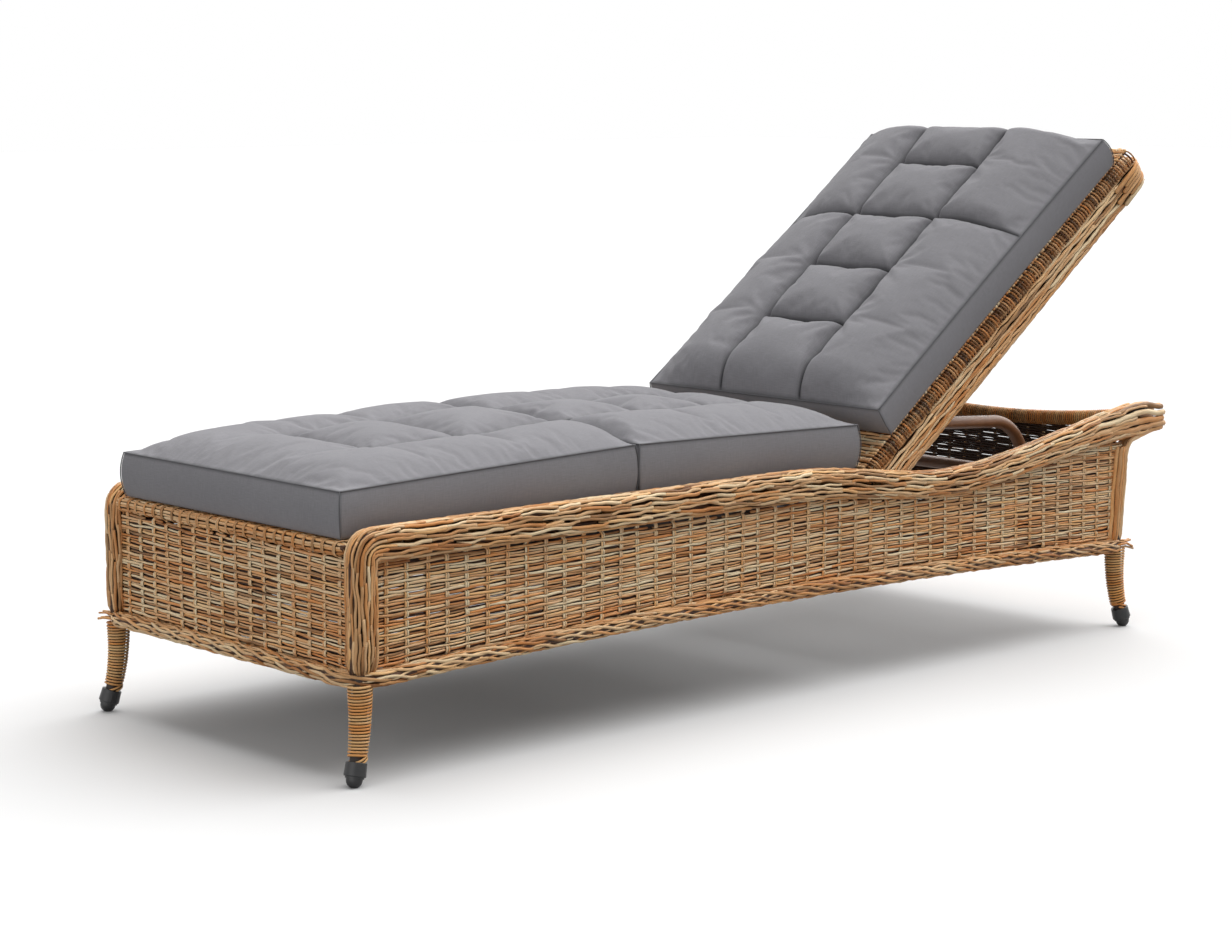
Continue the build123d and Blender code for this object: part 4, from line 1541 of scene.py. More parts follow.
@dataclass(frozen=True)
class EndRolls:
    """The wrapped head roll and the bound foot roll."""

    binding: Binding = Binding(radius=0.0020, pitch=0.0049, points_per_turn=12, tint=(0.30, 0.60))
    foot_bundle: Bundle = Bundle(wander=0.0010, shortest=0.20, longest=0.42)
    wrap_pitch: float = 0.026
    wrap_radius: float = 0.0011
    wrap_turns: int = 3
    wrap_points: int = 24
    wrap_tint: tuple[float, float] = (0.30, 0.70)
    wrap_uneven: float = 0.003
    rounding: float = 0.010
    thickest: float = 0.015
    core_steps: int = 24
    core_inset: float = 1.5
    foot_core_depth: float = 0.010
    foot_core_radius: float = 0.0055
    foot_core_steps: int = 20

    def head(self, finish: bpy.types.Material) -> bpy.types.Object:
        """Builds the head roll.

        Args:
            finish: The cane's finish.

        Returns:
            The piece.
        """
        low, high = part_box("head_roll")
        half = high.y
        radius = min((high.x - low.x) / 2, self.thickest)
        middle = Vector((low.x + radius, 0, low.z + radius))
        end_rise = high.z - radius - middle.z
        lean = (high.x - low.x - 2 * radius) / max(end_rise, 1e-6)

        def axis(share: float) -> tuple[Vector, Vector, Vector, float]:
            """The roll's centre, two square directions and its radius."""
            y = -half + 2 * half * share
            rise = end_rise * (y / half) ** 2
            centre = middle + Vector((lean * rise, y, rise))
            along = Vector((lean * 2 * end_rise * y / half**2, 1, 2 * end_rise * y / half**2)).normalized()
            one = along.cross(Vector((1, 0, 0))).normalized()
            return centre, one, along.cross(one), radius

        strands = Strands()
        self.binding.wind(strands, random.Random("head roll"), axis, 2 * half)
        # A dark core at tint 0 inside the binding: painted shade that shows between the turns.
        core = [axis(index / self.core_steps)[0] for index in range(self.core_steps + 1)]
        strands.lay(core, radius - self.core_inset * self.binding.radius, 0.0)
        piece = strands.piece("head_roll_binding", finish)
        return settle(piece, Body.BASE, Slot.CANE, ("head_roll",))

    def foot(self, finish: bpy.types.Material) -> bpy.types.Object:
        """Builds the foot roll: canes along it, with short wraps across them.

        Args:
            finish: The cane's finish.

        Returns:
            The piece.
        """
        low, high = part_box("foot_roll")
        centre = (low + high) / 2
        half_depth = (high.x - low.x) / 2
        half_height = (high.z - low.z) / 2
        length = high.y - low.y
        draw = random.Random("foot roll")

        def lane(along: float, share: float, inset: float) -> Vector:
            """A point of the roll, on its outline."""
            corner = max(self.rounding - inset, LEAST_CORNER)
            across, up = RoundedOutline(half_depth - inset, half_height - inset, corner).at(share)
            return Vector((centre.x + across, low.y + along, centre.z + up))

        strands = Strands()
        inset = 2 * self.wrap_radius
        section = RoundedOutline(half_depth, half_height, self.rounding).length
        self.foot_bundle.lay(
            strands,
            draw,
            lambda along, share, depth: lane(along, share, depth + inset * 0.6),
            section,
            lambda share: (0.0, length),
        )
        # Two dark cores at tint 0: painted shade that shows through the gaps between the canes.
        steps = self.foot_core_steps
        for share in (0.2, 0.8):
            core = [lane(length * step / steps, share, self.foot_core_depth) for step in range(steps + 1)]
            strands.lay(core, self.foot_core_radius, 0.0)
        wraps = round(length / self.wrap_pitch)
        for wrap in range(wraps):
            start = length * (wrap + 0.5) / wraps + draw.uniform(-self.wrap_uneven, self.wrap_uneven)
            slant = draw.uniform(0.7, 1.3) * 2 * self.wrap_radius
            shares = [index / self.wrap_points for index in range(self.wrap_points * self.wrap_turns)]
            points = [lane(start + slant * share, share, self.wrap_radius * 1.5) for share in shares]
            strands.lay(points, self.wrap_radius, draw.uniform(*self.wrap_tint))
        piece = strands.piece("foot_roll_canes", finish)
        return settle(piece, Body.BASE, Slot.CANE, ("foot_roll",))


@dataclass(frozen=True)
class BackFrame:
    """The backrest: stiles and a top rail of cane, and a woven panel whose ends turn over the stiles."""

    bundle: Bundle = Bundle(
        radius=0.0034,
        pitch=0.0076,
        wander=0.0028,
        shortest=0.16,
        longest=0.36,
        heave=0.0014,
    )
    wickerwork: Wickerwork = Wickerwork(
        row_pitch=0.0076,
        weft_radius=0.0033,
        filler_radius=0.0028,
        face=Face.PLAIN,
        steps_per_stake=4,
    )
    rounding: float = 0.015
    face_drop: float = 0.011
    core_radius: float = 0.0150
    core_ends: float = 0.01
    core_steps: int = 40
    panel_inset: float = 0.012
    panel_tail: tuple[tuple[float, float], ...] = (
        (0.004, -0.001),
        (0.009, -0.006),
        (0.012, -0.013),
        (0.0125, -0.022),
    )
    loops: int = 6
    loop_radius: float = 0.0046
    loop_bend: float = 0.034
    loop_uneven: float = 0.004
    loop_points: int = 6
    under_loops: float = 0.005
    cut_uneven: float = 0.004

    def build(self, place: Matrix, frame: dict, finish: bpy.types.Material) -> bpy.types.Object:
        """Builds the stiles and the top rail.

        Args:
            place: The backrest's own frame: along it, across it and off it.
            frame: The loaded frame.
            finish: The cane's finish.

        Returns:
            The piece.
        """
        strands = Strands()
        draw = random.Random("backrest")
        for side in Side:
            node = frame["nodes"][f"back_stile_{side.word}"]
            low, high = local_box(node, place)
            high.z -= self.face_drop
            self._bundle(strands, draw, place, low, high, 0)
        low, high = local_box(frame["nodes"]["back_top_rail"], place)
        high.z -= self.face_drop
        self._bundle(strands, draw, place, low, high, 1)
        self._corner_loops(strands, draw, place, frame)
        piece = strands.piece("backrest_canes", finish)
        replaced = ("back_stile_left", "back_stile_right", "back_top_rail")
        return settle(piece, Body.BACKREST, Slot.CANE, replaced)

    def _bundle(
        self,
        strands: Strands,
        draw: random.Random,
        place: Matrix,
        low: Vector,
        high: Vector,
        run: int,
    ) -> None:
        """Fills a box with canes that run along one of its sides.

        Args:
            strands: Where the canes go.
            draw: The source of random numbers.
            place: The backrest's own frame.
            low: The box's lowest corner there.
            high: Its highest corner.
            run: The side that the canes run along, 0 for along the backrest and 1 for across it.
        """
        width = 1 - run
        centre = (low + high) / 2
        half_width = (high[width] - low[width]) / 2
        half_height = (high.z - low.z) / 2

        def lane(along: float, share: float, inset: float) -> Vector:
            """A point of the bundle, on its outline."""
            corner = max(self.rounding - inset, LEAST_CORNER)
            across, up = RoundedOutline(half_width - inset, half_height - inset, corner).at(share)
            local = Vector((0, 0, centre.z + up))
            local[width] = centre[width] + across
            local[run] = low[run] + along
            return place @ local

        length = high[run] - low[run]
        section = RoundedOutline(half_width, half_height, self.rounding).length

        def reach(share: float) -> tuple[float, float]:
            """Where a lane is cut at both ends."""
            hidden = self.under_loops
            start = hidden if run else draw.uniform(0.0, self.cut_uneven)
            return start, length - hidden - draw.uniform(0.0, self.cut_uneven)

        self.bundle.lay(strands, draw, lane, section, reach)
        # Two dark cores at tint 0: painted shade that shows through the gaps between the canes.
        inset = self.core_radius + self.bundle.radius
        step = (length - 2 * self.core_ends) / self.core_steps
        for share in (0.0, 0.5):
            stations = [self.core_ends + step * index for index in range(self.core_steps + 1)]
            strands.lay([lane(along, share, inset) for along in stations], self.core_radius, 0.0)

    def _corner_loops(self, strands: Strands, draw: random.Random, place: Matrix, frame: dict) -> None:
        """Lays canes that come across the top and turn down round the stile's outer edge.

        Args:
            strands: What they are laid into.
            draw: Where chance comes from.
            place: The backrest's own frame.
            frame: The loaded frame.
        """
        for side in Side:
            low, high = local_box(frame["nodes"][f"back_stile_{side.word}"], place)
            outer = high.y if side is Side.RIGHT else low.y
            inward = -side.value
            for loop in range(self.loops):
                off = low.z + 0.012 + (high.z - self.face_drop - low.z - 0.02) * (loop + 0.3) / self.loops
                bend = self.loop_bend + draw.uniform(-self.loop_uneven, self.loop_uneven)
                points = [Vector((high.x + 0.003, outer + inward * 0.20, off - 0.004))]
                points.append(Vector((high.x + 0.003, outer + inward * 0.09, off)))
                for index in range(self.loop_points + 1):
                    angle = math.pi / 2 * index / self.loop_points
                    s = high.x + 0.004 - bend * (1 - math.cos(angle))
                    y = outer + inward * (bend - 0.002) - inward * bend * math.sin(angle)
                    points.append(Vector((s, y, off + 0.002 * math.sin(angle * 2))))
                down = high.x - bend - draw.uniform(0.02, 0.07)
                points.append(Vector((down, outer - inward * MILLIMETRE, off - 0.003)))
                strands.lay([place @ point for point in points], self.loop_radius, draw.uniform(0.4, 0.9))

    def panel(self, place: Matrix, frame: dict, finish: bpy.types.Material) -> bpy.types.Object:
        """Builds the woven panel.

        Args:
            place: The backrest's own frame.
            frame: The loaded frame.
            finish: The cane's finish.

        Returns:
            The piece.
        """
        low, high = local_box(frame["nodes"]["back_weave_panel"], place)
        middle = (low.z + high.z) / 2
        strands = Strands()
        self.wickerwork.weave(
            strands,
            random.Random("back panel"),
            lambda across, height, off: place @ Vector((height, across, middle + off)),
            (low.y + self.panel_inset, high.y - self.panel_inset),
            lambda across: low.x,
            lambda across: high.x,
            tail=self.panel_tail,
        )
        piece = strands.piece("backrest_weave", finish)
        return settle(piece, Body.BACKREST, Slot.WEAVE, ("back_weave_panel",))


def local_box(node: bpy.types.Object, place: Matrix) -> tuple[Vector, Vector]:
    """A node's lowest and highest corners in a frame of its own.

    Args:
        node: The node's object.
        place: That frame.

    Returns:
        Both corners.
    """
    back = place.inverted()
    corners = np.array([tuple(back @ vertex.co) for vertex in node.data.vertices])
    return Vector(corners.min(axis=0)), Vector(corners.max(axis=0))


@dataclass(frozen=True)
class Quilting:
    """Where a cushion is sewn through."""

    rows: tuple[float, ...]
    full_rows: tuple[int, ...] = ()
    column: float = 0.105
    crown: float = 0.028
    shoulders: tuple[float, float, float] = (0.110, 0.034, 0.130)
    roundness: float = 2.4
    channel: float = 0.018
    seam_from: float = 0.0
    seam_drop: float = 0.0
    lift: tuple[float, float] = (0.0, 0.0)
    longer: tuple[float, float] = (0.0, 0.0)


LEG_QUILTING = Quilting(
    (0.334, 0.642),
    column=0.120,
    seam_from=0.334,
    lift=(0.0, 0.018),
    longer=(0.0, 0.014),
)
SEAT_QUILTING = Quilting(
    (0.385, 0.710),
    column=0.100,
    shoulders=(0.034, 0.110, 0.130),
    lift=(0.018, 0.006),
    longer=(0.014, 0.004),
)
BACK_QUILTING = Quilting(
    (0.228, 0.426, 0.624, 0.828),
    full_rows=(2,),
    crown=0.054,
    shoulders=(0.070, 0.045, 0.170),
    roundness=2.0,
    channel=0.027,
    seam_drop=0.010,
    longer=(0.010, 0.0),
)


@dataclass(frozen=True)
class CushionMaker:
    """A boxed pad, quilted in three columns and blown up by a cloth simulation."""

    cell: float = 0.0062
    cad_crown: float = 0.018
    tuft: float = 0.006
    tuft_reach: float = 0.030
    pinch: float = 0.009
    crease: float = 0.30
    seam_fade: float = 0.12
    seam_shade: float = 0.0042
    crease_reach: float = 0.030
    fold: float = 0.0022
    fold_reach: float = 0.055
    folds: int = 9
    fold_wave: float = 0.03
    fold_clear: float = 0.015
    tuck: float = 0.006
    bulge: float = 0.003
    seam_in: float = 0.004
    draw_in: float = 0.004
    pressure: float = 4.0
    frames: int = 20
    cap: float = 0.022
    slack: float = 0.02
    stretch: float = 30.0
    shear: float = 12.0
    bending: float = 0.3
    fabric_mass: float = 0.25
    air: float = 4.0
    piping: float = 0.0013
    fill: float = 0.75
    edge_shade: float = 0.5
    sharpness: float = 0.8

    def build(
        self,
        name: str,
        node: bpy.types.Object,
        place: Matrix,
        quilting: Quilting,
        body: Body,
        finish: bpy.types.Material,
        cord_finish: bpy.types.Material,
    ) -> None:
        """Builds one cushion with its piping.

        Args:
            name: The node that the cushion stands for.
            node: That node's object.
            place: The frame that the cushion lies flat in.
            quilting: Where it is sewn through.
            body: What it moves with.
            finish: The fabric.
            cord_finish: The piping's fabric.
        """
        low, high = local_box(node, place)
        low.x += quilting.longer[0]
        length = high.x + quilting.longer[1] - low.x
        half = (high.y - low.y) / 2
        side = high.z - low.z - self.cad_crown - quilting.seam_drop
        local = place @ Matrix.Translation((low.x, 0, low.z))
        mesh, flat = self._grid(name, length, half, side, quilting)
        shaped = self._shape(flat, length, half, side, quilting)
        mesh.vertices.foreach_set("co", shaped.ravel())
        cushion = show(f"{name}_pad", mesh)
        from_seam = self._from_seam(flat, length, side, quilting)
        size = (length, half, side)
        self._blow_up(cushion, shaped, flat, from_seam < NEAR, size)
        self._mark(cushion, flat, from_seam, size)
        mesh = cushion.data
        mesh.transform(local)
        mesh.materials.append(finish)
        subdivision = cushion.modifiers.new("smooth", "SUBSURF")
        subdivision.levels = subdivision.render_levels = 1
        settle(cushion, body, Slot.FABRIC, (name,))
        self._piping(name, mesh, flat, size, body, cord_finish)

    def _grid(
        self, name: str, length: float, half: float, side: float, quilting: Quilting
    ) -> tuple[bpy.types.Mesh, np.ndarray]:
        """An even box of small faces, with grid lines on the seams.

        Args:
            name: The cushion's name.
            length: Its length.
            half: Half its width.
            side: The height of its boxing.
            quilting: Where it is sewn through.

        Returns:
            The mesh and its corners in the flat pattern.
        """
        shape = bmesh.new()
        bmesh.ops.create_cube(shape, size=1.0)
        bmesh.ops.transform(shape, matrix=Matrix.Diagonal((length, 2 * half, side, 1)), verts=shape.verts)
        bmesh.ops.translate(shape, vec=(length / 2, 0, side / 2), verts=shape.verts)
        for axis, size in enumerate((length, 2 * half, side)):
            spans = [(edge, edge.verts[0].co - edge.verts[1].co) for edge in shape.edges]
            edges = [edge for edge, span in spans if abs(span[axis]) > size / 2]
            cuts = max(1, round(size / self.cell) - 1)
            bmesh.ops.subdivide_edges(shape, edges=edges, cuts=cuts, use_grid_fill=True)
        for axis, size, lines in (
            (0, length, [length * row for row in quilting.rows]),
            (1, 2 * half, [-quilting.column, quilting.column]),
        ):
            pitch = size / max(2, round(size / self.cell))
            for line in lines:
                for vertex in shape.verts:
                    if abs(vertex.co[axis] - line) < pitch * 0.501:
                        vertex.co[axis] = line
        for face in shape.faces:
            face.smooth = True
        mesh = bpy.data.meshes.new(f"{name}_pad")
        shape.to_mesh(mesh)
        shape.free()
        flat = np.zeros(len(mesh.vertices) * 3)
        mesh.vertices.foreach_get("co", flat)
        return mesh, flat.reshape(-1, 3)

    def _shape(
        self, flat: np.ndarray, length: float, half: float, side: float, quilting: Quilting
    ) -> np.ndarray:
        """The pad before it is blown up.

        Args:
            flat: The corners in the flat pattern.
            length: The pad's length.
            half: Half its width.
            side: The height of its boxing.
            quilting: Where it is sewn through.

        Returns:
            The shaped corners.
        """
        x, y, z = flat.T
        up = z / side
        inset = self.tuck * (1 - up) ** 2 + self.seam_in * up**2 - self.bulge * 4 * up * (1 - up)
        along = 2 * x / length - 1
        wide = half - inset - self.draw_in * (1 - along**2)
        lift = quilting.lift[0] + (quilting.lift[1] - quilting.lift[0]) * x / length
        shaped = np.column_stack((length / 2 + along * (length / 2 - inset), y / half * wide, z + lift * up))
        near = np.ones(len(x))
        seam_near = np.ones(len(x))
        for edge, shoulder in zip((x, length - x, half - np.abs(y)), quilting.shoulders):
            near *= 1 - (1 - np.clip(edge / shoulder, 0, 1)) ** quilting.roundness
            seam_near *= 1 - (1 - np.clip(edge / max(shoulder, self.seam_fade), 0, 1)) ** 2
        dome = quilting.crown * near
        off = np.abs(y) - quilting.column
        dip = np.zeros(len(x))
        tuft = np.zeros(len(x))
        folded = np.zeros(len(x))
        draw = random.Random(length)
        for index, row in enumerate(quilting.rows):
            away = np.abs(x - row * length)
            tuft = np.maximum(tuft, np.exp(-((away / self.tuft_reach) ** 2)))
            fade = self.crease * np.exp(-np.clip(off, 0, None) / self.crease_reach)
            reach = np.where((off <= NEAR) | (index in quilting.full_rows), 1.0, fade)
            dip = np.maximum(dip, quilting.channel * reach * np.exp(-away / self.pinch))
            for column in (-quilting.column, quilting.column):
                far = np.hypot(x - row * length, y - column)
                turned = np.arctan2(y - column, x - row * length)
                swirl = 2.0 * np.sin(far / self.fold_wave)
                wave = np.sin(self.folds * turned + draw.uniform(0, math.tau) + swirl)
                clear = 1 - np.exp(-far / self.fold_clear)
                folded += self.fold * wave * np.exp(-far / self.fold_reach) * clear
        unsewn = np.clip(quilting.seam_from * length - x, 0, None)
        fade = np.exp(-np.abs(off) / self.pinch - unsewn / self.crease_reach)
        dip = np.maximum(dip, (quilting.channel + self.tuft * tuft) * fade)
        shaped[:, 2] += np.where(up > 0.999, dome + (folded - dip) * seam_near, 0.0)
        return shaped

    def _from_seam(self, flat: np.ndarray, length: float, side: float, quilting: Quilting) -> np.ndarray:
        """How far each corner of the top is from the nearest seam of the quilting.

        Args:
            flat: The corners in the flat pattern.
            length: The pad's length.
            side: The height of its boxing.
            quilting: Where it is sewn through.

        Returns:
            The distances, with a whole metre for corners that aren't on the top.
        """
        x, y, z = flat.T
        outside = np.clip(np.abs(y) - quilting.column, 0, None)
        nearest = np.hypot(np.abs(y) - quilting.column, np.clip(quilting.seam_from * length - x, 0, None))
        for index, row in enumerate(quilting.rows):
            past = 0.0 if index in quilting.full_rows else outside
            nearest = np.minimum(nearest, np.hypot(x - row * length, past))
        return np.where(z > side * 0.999, nearest, 1.0)

    def _blow_up(
        self,
        cushion: bpy.types.Object,
        shaped: np.ndarray,
        flat: np.ndarray,
        sewn: np.ndarray,
        size: tuple[float, float, float],
    ) -> None:
        """Runs the cloth simulation and keeps its result.

        Args:
            cushion: The pad.
            shaped: Its corners before.
            flat: Its corners in the flat pattern.
            sewn: The corners on the seams.
            size: Its length, half width and boxing.
        """
        length, half, _ = size
        x, y, z = flat.T
        edge = (np.abs(x - length / 2) > length / 2 - NEAR) | (np.abs(y) > half - NEAR)
        held = (z < NEAR) | sewn | edge
        group = cushion.vertex_groups.new(name="held")
        group.add([int(index) for index in np.flatnonzero(held)], 1.0, "REPLACE")
        cloth = cushion.modifiers.new("cloth", "CLOTH")
        settings = cloth.settings
        settings.quality = 6
        settings.mass = self.fabric_mass
        settings.tension_stiffness = settings.compression_stiffness = self.stretch
        settings.shear_stiffness = self.shear
        settings.bending_stiffness = self.bending
        settings.air_damping = self.air
        settings.use_pressure = True
        settings.uniform_pressure_force = self.pressure
        settings.shrink_min = -self.slack
        settings.vertex_group_mass = "held"
        settings.effector_weights.gravity = 0.0
        cloth.collision_settings.use_collision = False
        scene = bpy.context.scene
        for number in range(1, self.frames + 1):
            scene.frame_set(number)
        result = cushion.evaluated_get(bpy.context.evaluated_depsgraph_get()).data
        blown = np.zeros(len(result.vertices) * 3)
        result.vertices.foreach_get("co", blown)
        moved = blown.reshape(-1, 3) - shaped
        far = np.linalg.norm(moved, axis=1, keepdims=True)
        moved *= np.minimum(1.0, self.cap / np.maximum(far, 1e-9))
        cushion.modifiers.remove(cloth)
        scene.frame_set(1)
        cushion.data.vertices.foreach_set("co", (shaped + moved).ravel())
        cushion.data.update()
        log.info("%s moved %.1f mm at most", cushion.name, float(far.max()) / MILLIMETRE)

    def _mark(
        self,
        cushion: bpy.types.Object,
        flat: np.ndarray,
        from_seam: np.ndarray,
        size: tuple[float, float, float],
    ) -> None:
        """Gives the pad its fabric map, its painted seam shade and its creases.

        Args:
            cushion: The pad.
            flat: Its corners in the flat pattern.
            from_seam: How far they are from the seams.
            size: Its length, half width and boxing.
        """
        length, half, side = size
        sewn = from_seam < NEAR
        # Painted shade: 1 on the seams, fading over a few millimetres either side as in the shaded grooves;
        # the top edges get edge_shade.
        shade = np.exp(-from_seam / self.seam_shade)
        mesh = cushion.data
        x, y, z = flat.T
        edge = (np.abs(x - length / 2) > length / 2 - NEAR) | (np.abs(y) > half - NEAR)
        top_edge = (z > side - NEAR) & edge
        seam = mesh.attributes.new("seam", "FLOAT", "POINT")
        seam.data.foreach_set("value", np.where(top_edge, self.edge_shade, shade).astype(np.float32))
        crease = mesh.attributes.new("crease_edge", "FLOAT", "EDGE")
        ends = np.zeros(len(mesh.edges) * 2, int)
        mesh.edges.foreach_get("vertices", ends)
        ends = ends.reshape(-1, 2)
        along_seam = sewn[ends].all(axis=1) | top_edge[ends].all(axis=1)
        crease.data.foreach_set("value", np.where(along_seam, self.sharpness, 0.0).astype(np.float32))
        fabric = mesh.uv_layers.new(name="fabric")
        loops = np.zeros(len(mesh.loops), int)
        mesh.loops.foreach_get("vertex_index", loops)
        pattern = np.zeros((len(loops), 2))
        for polygon in mesh.polygons:
            span = slice(polygon.loop_start, polygon.loop_start + polygon.loop_total)
            corners = flat[loops[span]]
            spread = corners.max(axis=0) - corners.min(axis=0)
            flat_axis = int(np.argmin(spread))
            kept = [axis for axis in range(3) if axis != flat_axis]
            pattern[span] = corners[:, kept]
        fabric.data.foreach_set("uv", pattern.ravel())

    def _piping(
        self,
        name: str,
        mesh: bpy.types.Mesh,
        flat: np.ndarray,
        size: tuple[float, float, float],
        body: Body,
        finish: bpy.types.Material,
    ) -> None:
        """Lays piping along the top edge and down the corners.

        Args:
            name: The cushion's node.
            mesh: The pad's mesh, in place.
            flat: Its corners in the flat pattern.
            size: Its length, half width and boxing.
            body: What it moves with.
            finish: The piping's fabric.
        """
        length, half, side = size
        x, y, z = flat.T
        at_foot, at_head = x < NEAR, x > length - NEAR
        at_left, at_right = y < -half + NEAR, y > half - NEAR
        on_top = z > side - NEAR
        strands = Strands()
        lines = (
            (at_left & on_top, x),
            (at_head & on_top, y),
            (at_right & on_top, -x),
            (at_foot & on_top, -y),
        )
        loop = []
        for chosen, order in lines:
            indices = np.flatnonzero(chosen)
            indices = indices[np.argsort(order[indices])]
            loop += [mesh.vertices[int(index)].co.copy() for index in indices[:-1]]
        strands.lay([*loop, loop[0]], self.piping, 0.5, tip=0.1)
        for first in (at_foot, at_head):
            for second in (at_left, at_right):
                indices = np.flatnonzero(first & second)
                indices = indices[np.argsort(z[indices])]
                corner = [mesh.vertices[int(index)].co.copy() for index in indices]
                strands.lay(corner, self.piping * 0.8, 0.5)
        piece = strands.piece(f"{name}_piping", finish)
        settle(piece, body, Slot.FABRIC)


@dataclass(frozen=True)
class Sun:
    """A wide, soft light: where it comes from, its width in degrees and its strength."""

    name: str
    source: tuple[float, float, float]
    spread: float
    strength: float


@dataclass(frozen=True)
class Studio:
    """Floor, light and camera."""

    camera_place: tuple[float, float, float] = (-3.4737, -3.6849, 1.0739)
    camera_yaw: float = math.radians(42.14)
    camera_pitch: float = math.radians(7.75)
    picture_width: float = 1232.0
    focal_pixels: float = 2800.0
    shift_pixels: float = -9.69
    sensor: float = 36.0
    floor_size: float = 60.0
    floor_seen: float = 0.80
    floor_lit: float = 0.27
    floor_glow: float = 0.05
    sky: float = 0.24
    suns: tuple[Sun, ...] = (
        Sun("key", (0.50, 0.06, 0.86), 90.0, 3.8),
        Sun("foot_side", (-0.97, -0.20, 0.12), 60.0, 0.96),
    )
    far_clip: float = 200.0

    def build(self) -> None:
        """Builds the whole studio."""
        self._camera()
        self._floor()
        self._sky()
        for sun in self.suns:
            self._hang(sun)

    def _camera(self) -> None:
        """Puts the camera where the photograph was taken."""
        data = bpy.data.cameras.new("camera")
        data.sensor_fit = "HORIZONTAL"
        data.sensor_width = self.sensor
        data.lens = self.focal_pixels / self.picture_width * self.sensor
        data.shift_y = self.shift_pixels / self.picture_width
        data.clip_end = self.far_clip
        camera = show("camera", data)
        camera.location = self.camera_place
        camera.rotation_euler = (math.pi / 2 - self.camera_pitch, 0.0, -self.camera_yaw)
        bpy.context.scene.camera = camera

    def _floor(self) -> None:
        """Lays a plain white floor that keeps the lounger's shadow."""
        shape = bmesh.new()
        bmesh.ops.create_grid(shape, x_segments=1, y_segments=1, size=self.floor_size / 2)
        mesh = bpy.data.meshes.new("floor")
        shape.to_mesh(mesh)
        shape.free()
        floor = show("floor", mesh)
        shader = Shader("floor_white")
        shader.surface.inputs["Roughness"].default_value = 1.0
        shader.surface.inputs["Specular IOR Level"].default_value = 0.0
        shader.surface.inputs["Emission Color"].default_value = (1.0, 1.0, 1.0, 1.0)
        seen = shader.node("ShaderNodeLightPath").outputs
        rays = shader.math("MAXIMUM", seen["Is Camera Ray"], seen["Is Glossy Ray"])
        rays = shader.math("MAXIMUM", rays, seen["Is Transmission Ray"])
        shader.feed(shader.surface, "Emission Strength", shader.math("MULTIPLY", rays, self.floor_glow))
        lit = (self.floor_lit,) * 3
        seen_white = (self.floor_seen,) * 3
        shader.feed(shader.surface, "Base Color", shader.mix(rays, (*lit, 1.0), (*seen_white, 1.0)))
        mesh.materials.append(shader.material)

    def _sky(self) -> None:
        """White to the camera, to gloss and to glass, and a soft even light on the lounger."""
        world = bpy.data.worlds.new("studio")
        bpy.context.scene.world = world
        world.use_nodes = True
        tree = world.node_tree
        background = tree.nodes["Background"]
        background.inputs["Color"].default_value = (1.0, 1.0, 1.0, 1.0)
        seen = tree.nodes.new("ShaderNodeLightPath")
        level = tree.nodes.new("ShaderNodeMapRange")
        level.inputs["To Min"].default_value = self.sky
        level.inputs["To Max"].default_value = 1.0
        rays = seen.outputs["Is Camera Ray"]
        for kind in ("Is Glossy Ray", "Is Transmission Ray"):
            either = tree.nodes.new("ShaderNodeMath")
            either.operation = "MAXIMUM"
            tree.links.new(rays, either.inputs[0])
            tree.links.new(seen.outputs[kind], either.inputs[1])
            rays = either.outputs[0]
        tree.links.new(rays, level.inputs["Value"])
        tree.links.new(level.outputs["Result"], background.inputs["Strength"])

    @staticmethod
    def _hang(sun: Sun) -> None:
        """Hangs a light without an end.

        Args:
            sun: The light.
        """
        data = bpy.data.lights.new(sun.name, "SUN")
        data.angle = math.radians(sun.spread)
        data.energy = sun.strength
        lamp = show(sun.name, data)
        lamp.rotation_euler = (-Vector(sun.source)).to_track_quat("-Z", "Y").to_euler()


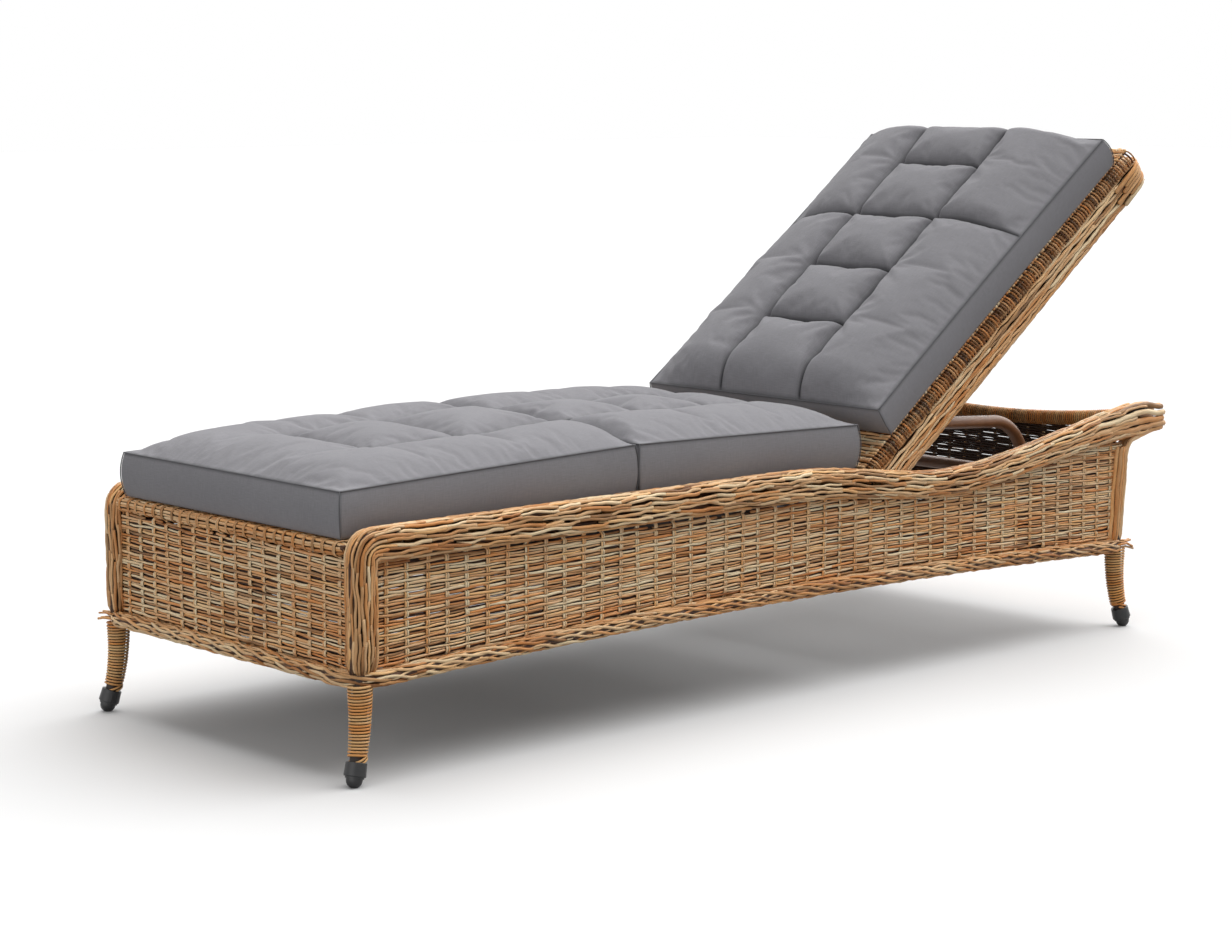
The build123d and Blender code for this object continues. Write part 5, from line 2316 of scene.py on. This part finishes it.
class Finishes:
    """The finishes of the lounger, made once."""

    def __init__(self) -> None:
        """Builds every material."""
        self.cane = CaneFinish("smoked_cane").material()
        # A paler copy of the cane finish for the woven panels: painted lighter to make up for the shade that
        # falls on them.
        self.weave = CaneFinish(
            "woven_cane", middle=(0.82, 0.450, 0.205), pale=(1.0, 0.84, 0.57), crevice=0.0045
        ).material()
        self.binding = CaneFinish(
            "binding_cane", dark=(0.045, 0.018, 0.007), middle=(0.78, 0.415, 0.165), pale=(1.0, 0.69, 0.34)
        ).material()
        self.fabric = FabricFinish("grey_linen").material()
        self.piping = CoatedFinish("grey_piping", (0.115, 0.115, 0.122), (0.14, 0.14, 0.147), 0.9).material()
        self.matting = MattingFinish("deck_matting").material()
        self.tube = CoatedFinish("brown_tube", (0.022, 0.014, 0.010), (0.034, 0.022, 0.015), 0.7).material()
        self.prop = CoatedFinish(
            "brown_prop", (0.21, 0.088, 0.036), (0.28, 0.125, 0.054), 0.45, coat=0.1
        ).material()
        self.black = CoatedFinish(
            "black_plate", (0.012, 0.012, 0.013), (0.022, 0.022, 0.023), 0.5, metallic=0.2
        ).material()
        self.steel = CoatedFinish("zinc_steel", (0.50, 0.50, 0.51), (0.62, 0.62, 0.63), 0.38, 1.0).material()
        self.plastic = CoatedFinish(
            "black_plastic", (0.010, 0.010, 0.011), (0.020, 0.020, 0.021), 0.42
        ).material()

    def dress(self, nodes: dict[str, bpy.types.Object], slots: dict[str, str]) -> None:
        """Gives every node of the frame its finish.

        Args:
            nodes: The frame's nodes.
            slots: Each node's slot.
        """
        chosen = {
            Slot.CANE: self.cane,
            Slot.WEAVE: self.matting,
            Slot.FABRIC: self.fabric,
            Slot.TUBE: self.tube,
            Slot.PROP: self.prop,
            Slot.BLACK_STEEL: self.black,
            Slot.STEEL: self.steel,
            Slot.PLASTIC: self.plastic,
        }
        for name, node in nodes.items():
            material = chosen[Slot(slots[name])]
            if node.material_slots:
                for held in node.material_slots:
                    held.material = material
            else:
                node.data.materials.append(material)


def main() -> None:
    """Builds the lounger's looks round the frame."""
    logging.basicConfig(level=logging.INFO, format="%(name)s: %(message)s")
    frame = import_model()
    bpy.context.scene.view_settings.view_transform = "Standard"
    finishes = Finishes()
    slots = {part["node"]: part["material_slot"] for part in frame["record"]["subparts"]}
    finishes.dress(frame["nodes"], slots)
    hinge = Vector(frame["joints"][0]["pos_m"])
    flat = Matrix.Identity(4)
    back = Matrix.Translation(hinge) @ Matrix.Rotation(-REST_ANGLE, 4, "Y")

    Studio().build()
    for side in Side:
        RailBundles().build(frame, side, finishes.cane)
        HeadPosts().build(frame, side, finishes.cane)
        SidePanels().build(frame, side, finishes.weave)
        for end in ("foot", "head"):
            BoundLegs().build(frame, end, side, finishes.binding)
    BottomRim().build(frame, finishes.cane)
    EndPanels().foot(finishes.weave)
    EndPanels().head(finishes.weave)
    EndRolls().head(finishes.binding)
    EndRolls().foot(finishes.cane)
    BackFrame().build(back, frame, finishes.cane)
    BackFrame().panel(back, frame, finishes.weave)

    maker = CushionMaker()
    quilts = (
        ("leg_cushion", flat, LEG_QUILTING, Body.BASE),
        ("seat_cushion", flat, SEAT_QUILTING, Body.BASE),
        ("back_cushion", back, BACK_QUILTING, Body.BACKREST),
    )
    for name, place, quilting, body in quilts:
        maker.build(name, frame["nodes"][name], place, quilting, body, finishes.fabric, finishes.piping)


if __name__ == "__main__":
    main()
